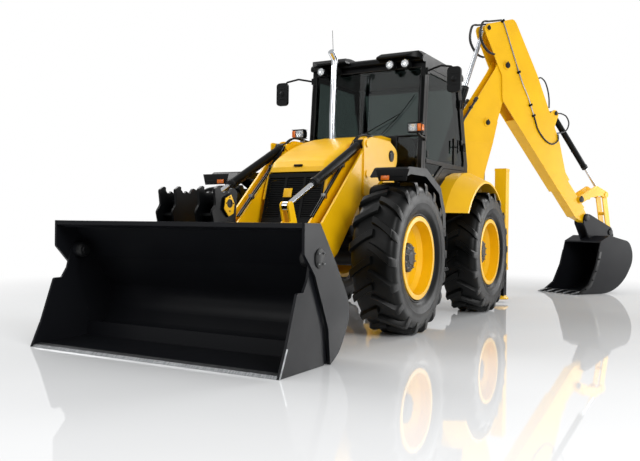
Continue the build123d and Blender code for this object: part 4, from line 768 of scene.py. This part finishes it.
def ram_details():
    for body, (base, tip, radius, long, home) in RAM_LINES.items():
        glands, pipes = Piece(), Piece()
        for s in ((1, -1) if home == "arms" else (1,)):
            y = s * 0.455 if home == "arms" else 0.0
            start = Vector((base[0], y, base[1]))
            along = (Vector((tip[0], y, tip[1])) - start).normalized()
            side = Vector((0, 1, 0)).cross(along)
            glands.turned([(radius * 0.62, long - 0.046), (radius + 0.0075, long - 0.0455),
                           (radius + 0.0075, long - 0.030), (radius + 0.006, long - 0.028),
                           (radius + 0.006, long - 0.002), (radius * 0.62 + 0.004, long + 0.003),
                           (radius * 0.62 + 0.001, long + 0.001)], start, along, 40)
            glands.turned([(radius + 0.0005, radius + 0.03), (radius + 0.003, radius + 0.032),
                           (radius + 0.003, radius + 0.044),
                           (radius + 0.0005, radius + 0.046)], start, along, 40)
            p0 = start + along * (radius + 0.06) + side * (radius + 0.010)
            p1 = start + along * (long - 0.07) + side * (radius + 0.010)
            pipes.tube([start + along * (radius + 0.055) + side * (radius + 0.0015), p0 + along * 0.02,
                        p0 + along * 0.06, p1 - along * 0.05,
                        p1 - along * 0.01, start + along * (long - 0.06) + side * (radius + 0.0015)], 0.0075,
                       10, 6)
            for share in (0.3, 0.65):
                c = start + along * (long * share) + side * (radius + 0.004)
                begin = len(pipes.bm.verts)
                pipes.box((-0.012, -0.014, -0.012), (0.012, 0.014, 0.012), 0.003)
                turn = Matrix((along, Vector((0, 1, 0)), side)).transposed().to_4x4()
                pipes.moved(Matrix.Translation(c) @ turn, begin)
        if home == "hoe":
            glands.moved(hoe_frame())
            pipes.moved(hoe_frame())
        glands.put(f"{body}_glands", CAST, body, "black")
        pipes.put(f"{body}_pipes", BLACK, body, "black")


# Rear frame and stabilisers
def rear_details():
    wear, bolts = Piece(), Piece()
    for z in (0.495, 1.145):
        for k in range(9):
            bolts.nut((-1.1132, -0.76 + k * 0.19, z), (-1, 0, 0), 0.013, 0.011)
    bolts.put("slide_rail_bolts", BOLT, "chassis", "chrome")
    for name, s in SIDES:
        foot = Piece()
        y = s * 0.953
        foot.turned([(0.1045, 0.0475), (0.1060, 0.0500), (0.1060, 0.0610), (0.100, 0.0665), (0.062, 0.0985),
                     (0.060, 0.0985)], (-1.150, y, 0), (0, 0, 1), 48)
        foot.put(f"stabiliser_foot_{name}", YELLOW, f"stabiliser_{name}", "yellow")
        for z in (0.4315, 1.7400):
            wear.box((-1.2285, y - 0.0785, z), (-1.0715, y - 0.0752, z + 0.034), 0.001)
            wear.box((-1.2285, y + 0.0752, z), (-1.0715, y + 0.0785, z + 0.034), 0.001)
            wear.box((-1.2285, y - 0.0785, z), (-1.2252, y + 0.0785, z + 0.034), 0.001)
        for k in range(3):
            bolts_at = Vector((-1.2252, y, 0.60 + 0.45 * k))
            wear.nut(bolts_at, (-1, 0, 0), 0.012, 0.010)
    wear.put("stabiliser_collars", YELLOW, "chassis", "yellow")


def stack_details():
    p = Piece()
    for k in range(5):
        z = 1.620 + k * 0.036
        p.turned([(0.0602, z), (0.0625, z + 0.003), (0.0625, z + 0.012), (0.0602, z + 0.015)],
                 (1.457, -0.2, 0), (0, 0, 1), 40)
    p.turned([(0.036, 1.7902), (0.060, 1.7902), (0.0602, 1.796), (0.038, 1.806), (0.0365, 1.806)],
             (1.457, -0.2, 0), (0, 0, 1), 40)
    p.put("stack_shield", PLASTIC, "chassis", "black")


cab_details()
seat_and_controls()
hood_details()
guard_details()
loader_details()
hoe_details()
ram_details()
rear_details()
stack_details()


# Stage: white paper on a glossy white floor
LIGHT_FROM_ALL_ROUND = 0.55
FADE_FROM, FADE_TO = 4.2, 8.5
FLOOR_MIDDLE = (1.0, 0.6, 0.0)
LIGHTS = [  # name, place, aim, size, power
    ("key", (7, 9, 6), (1, 0, 1), 5, 760),
    ("front", (12, -3, 5), (3, 0, 0.8), 5, 160),
    ("bucket sheen", (2.0, -6.0, 6.5), (4.0, 0.0, 0.3), 5, 500),
    ("back", (-8, 4, 7), (-1, 1, 1.5), 4, 400),
    ("side", (-5.5, 6.0, 1.8), (1.0, 1.0, 0.9), 3, 200),
]


def fade_floor():
    """Far from the machine the camera sees the floor as plain white, as it sees the backdrop."""
    nodes, links = FLOOR.node_tree.nodes, FLOOR.node_tree.links

    def math(operation, first, second):
        node = nodes.new("ShaderNodeMath")
        node.operation = operation
        for socket, value in zip(node.inputs, (first, second)):
            if isinstance(value, float):
                socket.default_value = value
            else:
                links.new(value, socket)
        return node.outputs[0]

    place = nodes.new("ShaderNodeTexCoord")
    centre = nodes.new("ShaderNodeMapping")
    centre.inputs["Location"].default_value = tuple(-v for v in FLOOR_MIDDLE)
    links.new(place.outputs["Object"], centre.inputs["Vector"])
    far = nodes.new("ShaderNodeVectorMath")
    far.operation = "LENGTH"
    links.new(centre.outputs["Vector"], far.inputs[0])
    fade = nodes.new("ShaderNodeMapRange")
    fade.interpolation_type = "SMOOTHSTEP"
    for key, number in (("From Min", FADE_FROM), ("From Max", FADE_TO), ("To Min", 0.0), ("To Max", 1.0)):
        fade.inputs[key].default_value = number
    links.new(far.outputs["Value"], fade.inputs["Value"])
    path = nodes.new("ShaderNodeLightPath")
    white = nodes.new("ShaderNodeEmission")
    blend = nodes.new("ShaderNodeMixShader")
    links.new(math("MULTIPLY", fade.outputs["Result"], path.outputs["Is Camera Ray"]), blend.inputs[0])
    links.new(nodes["Principled BSDF"].outputs[0], blend.inputs[1])
    links.new(white.outputs[0], blend.inputs[2])
    links.new(blend.outputs[0], nodes["Material Output"].inputs["Surface"])


def stage():
    fade_floor()
    p = Piece()
    p.shell([[(-60, -60, 0), (60, -60, 0)], [(-60, 60, 0), (60, 60, 0)]], False, False)
    mesh = bpy.data.meshes.new("floor")
    p.bm.to_mesh(mesh)
    mesh.materials.append(FLOOR)
    floor = bpy.data.objects.new("floor", mesh)
    bpy.context.scene.collection.objects.link(floor)
    world = bpy.data.worlds.new("studio")
    world.use_nodes = True
    nodes, links = world.node_tree.nodes, world.node_tree.links
    background = nodes["Background"]
    background.inputs["Color"].default_value = (1, 1, 1, 1)
    path = nodes.new("ShaderNodeLightPath")
    strength = nodes.new("ShaderNodeMapRange")
    strength.inputs["To Min"].default_value = LIGHT_FROM_ALL_ROUND
    links.new(path.outputs["Is Camera Ray"], strength.inputs["Value"])
    links.new(strength.outputs["Result"], background.inputs["Strength"])
    bpy.context.scene.world = world
    for name, place, aim, size, power in LIGHTS:
        data = bpy.data.lights.new(name, "AREA")
        data.size, data.energy = size, power
        light = bpy.data.objects.new(name, data)
        light.location = place
        light.rotation_euler = (Vector(aim) - Vector(place)).to_track_quat("-Z", "Y").to_euler()
        bpy.context.scene.collection.objects.link(light)


stage()
bpy.context.scene.view_settings.view_transform = "Standard"
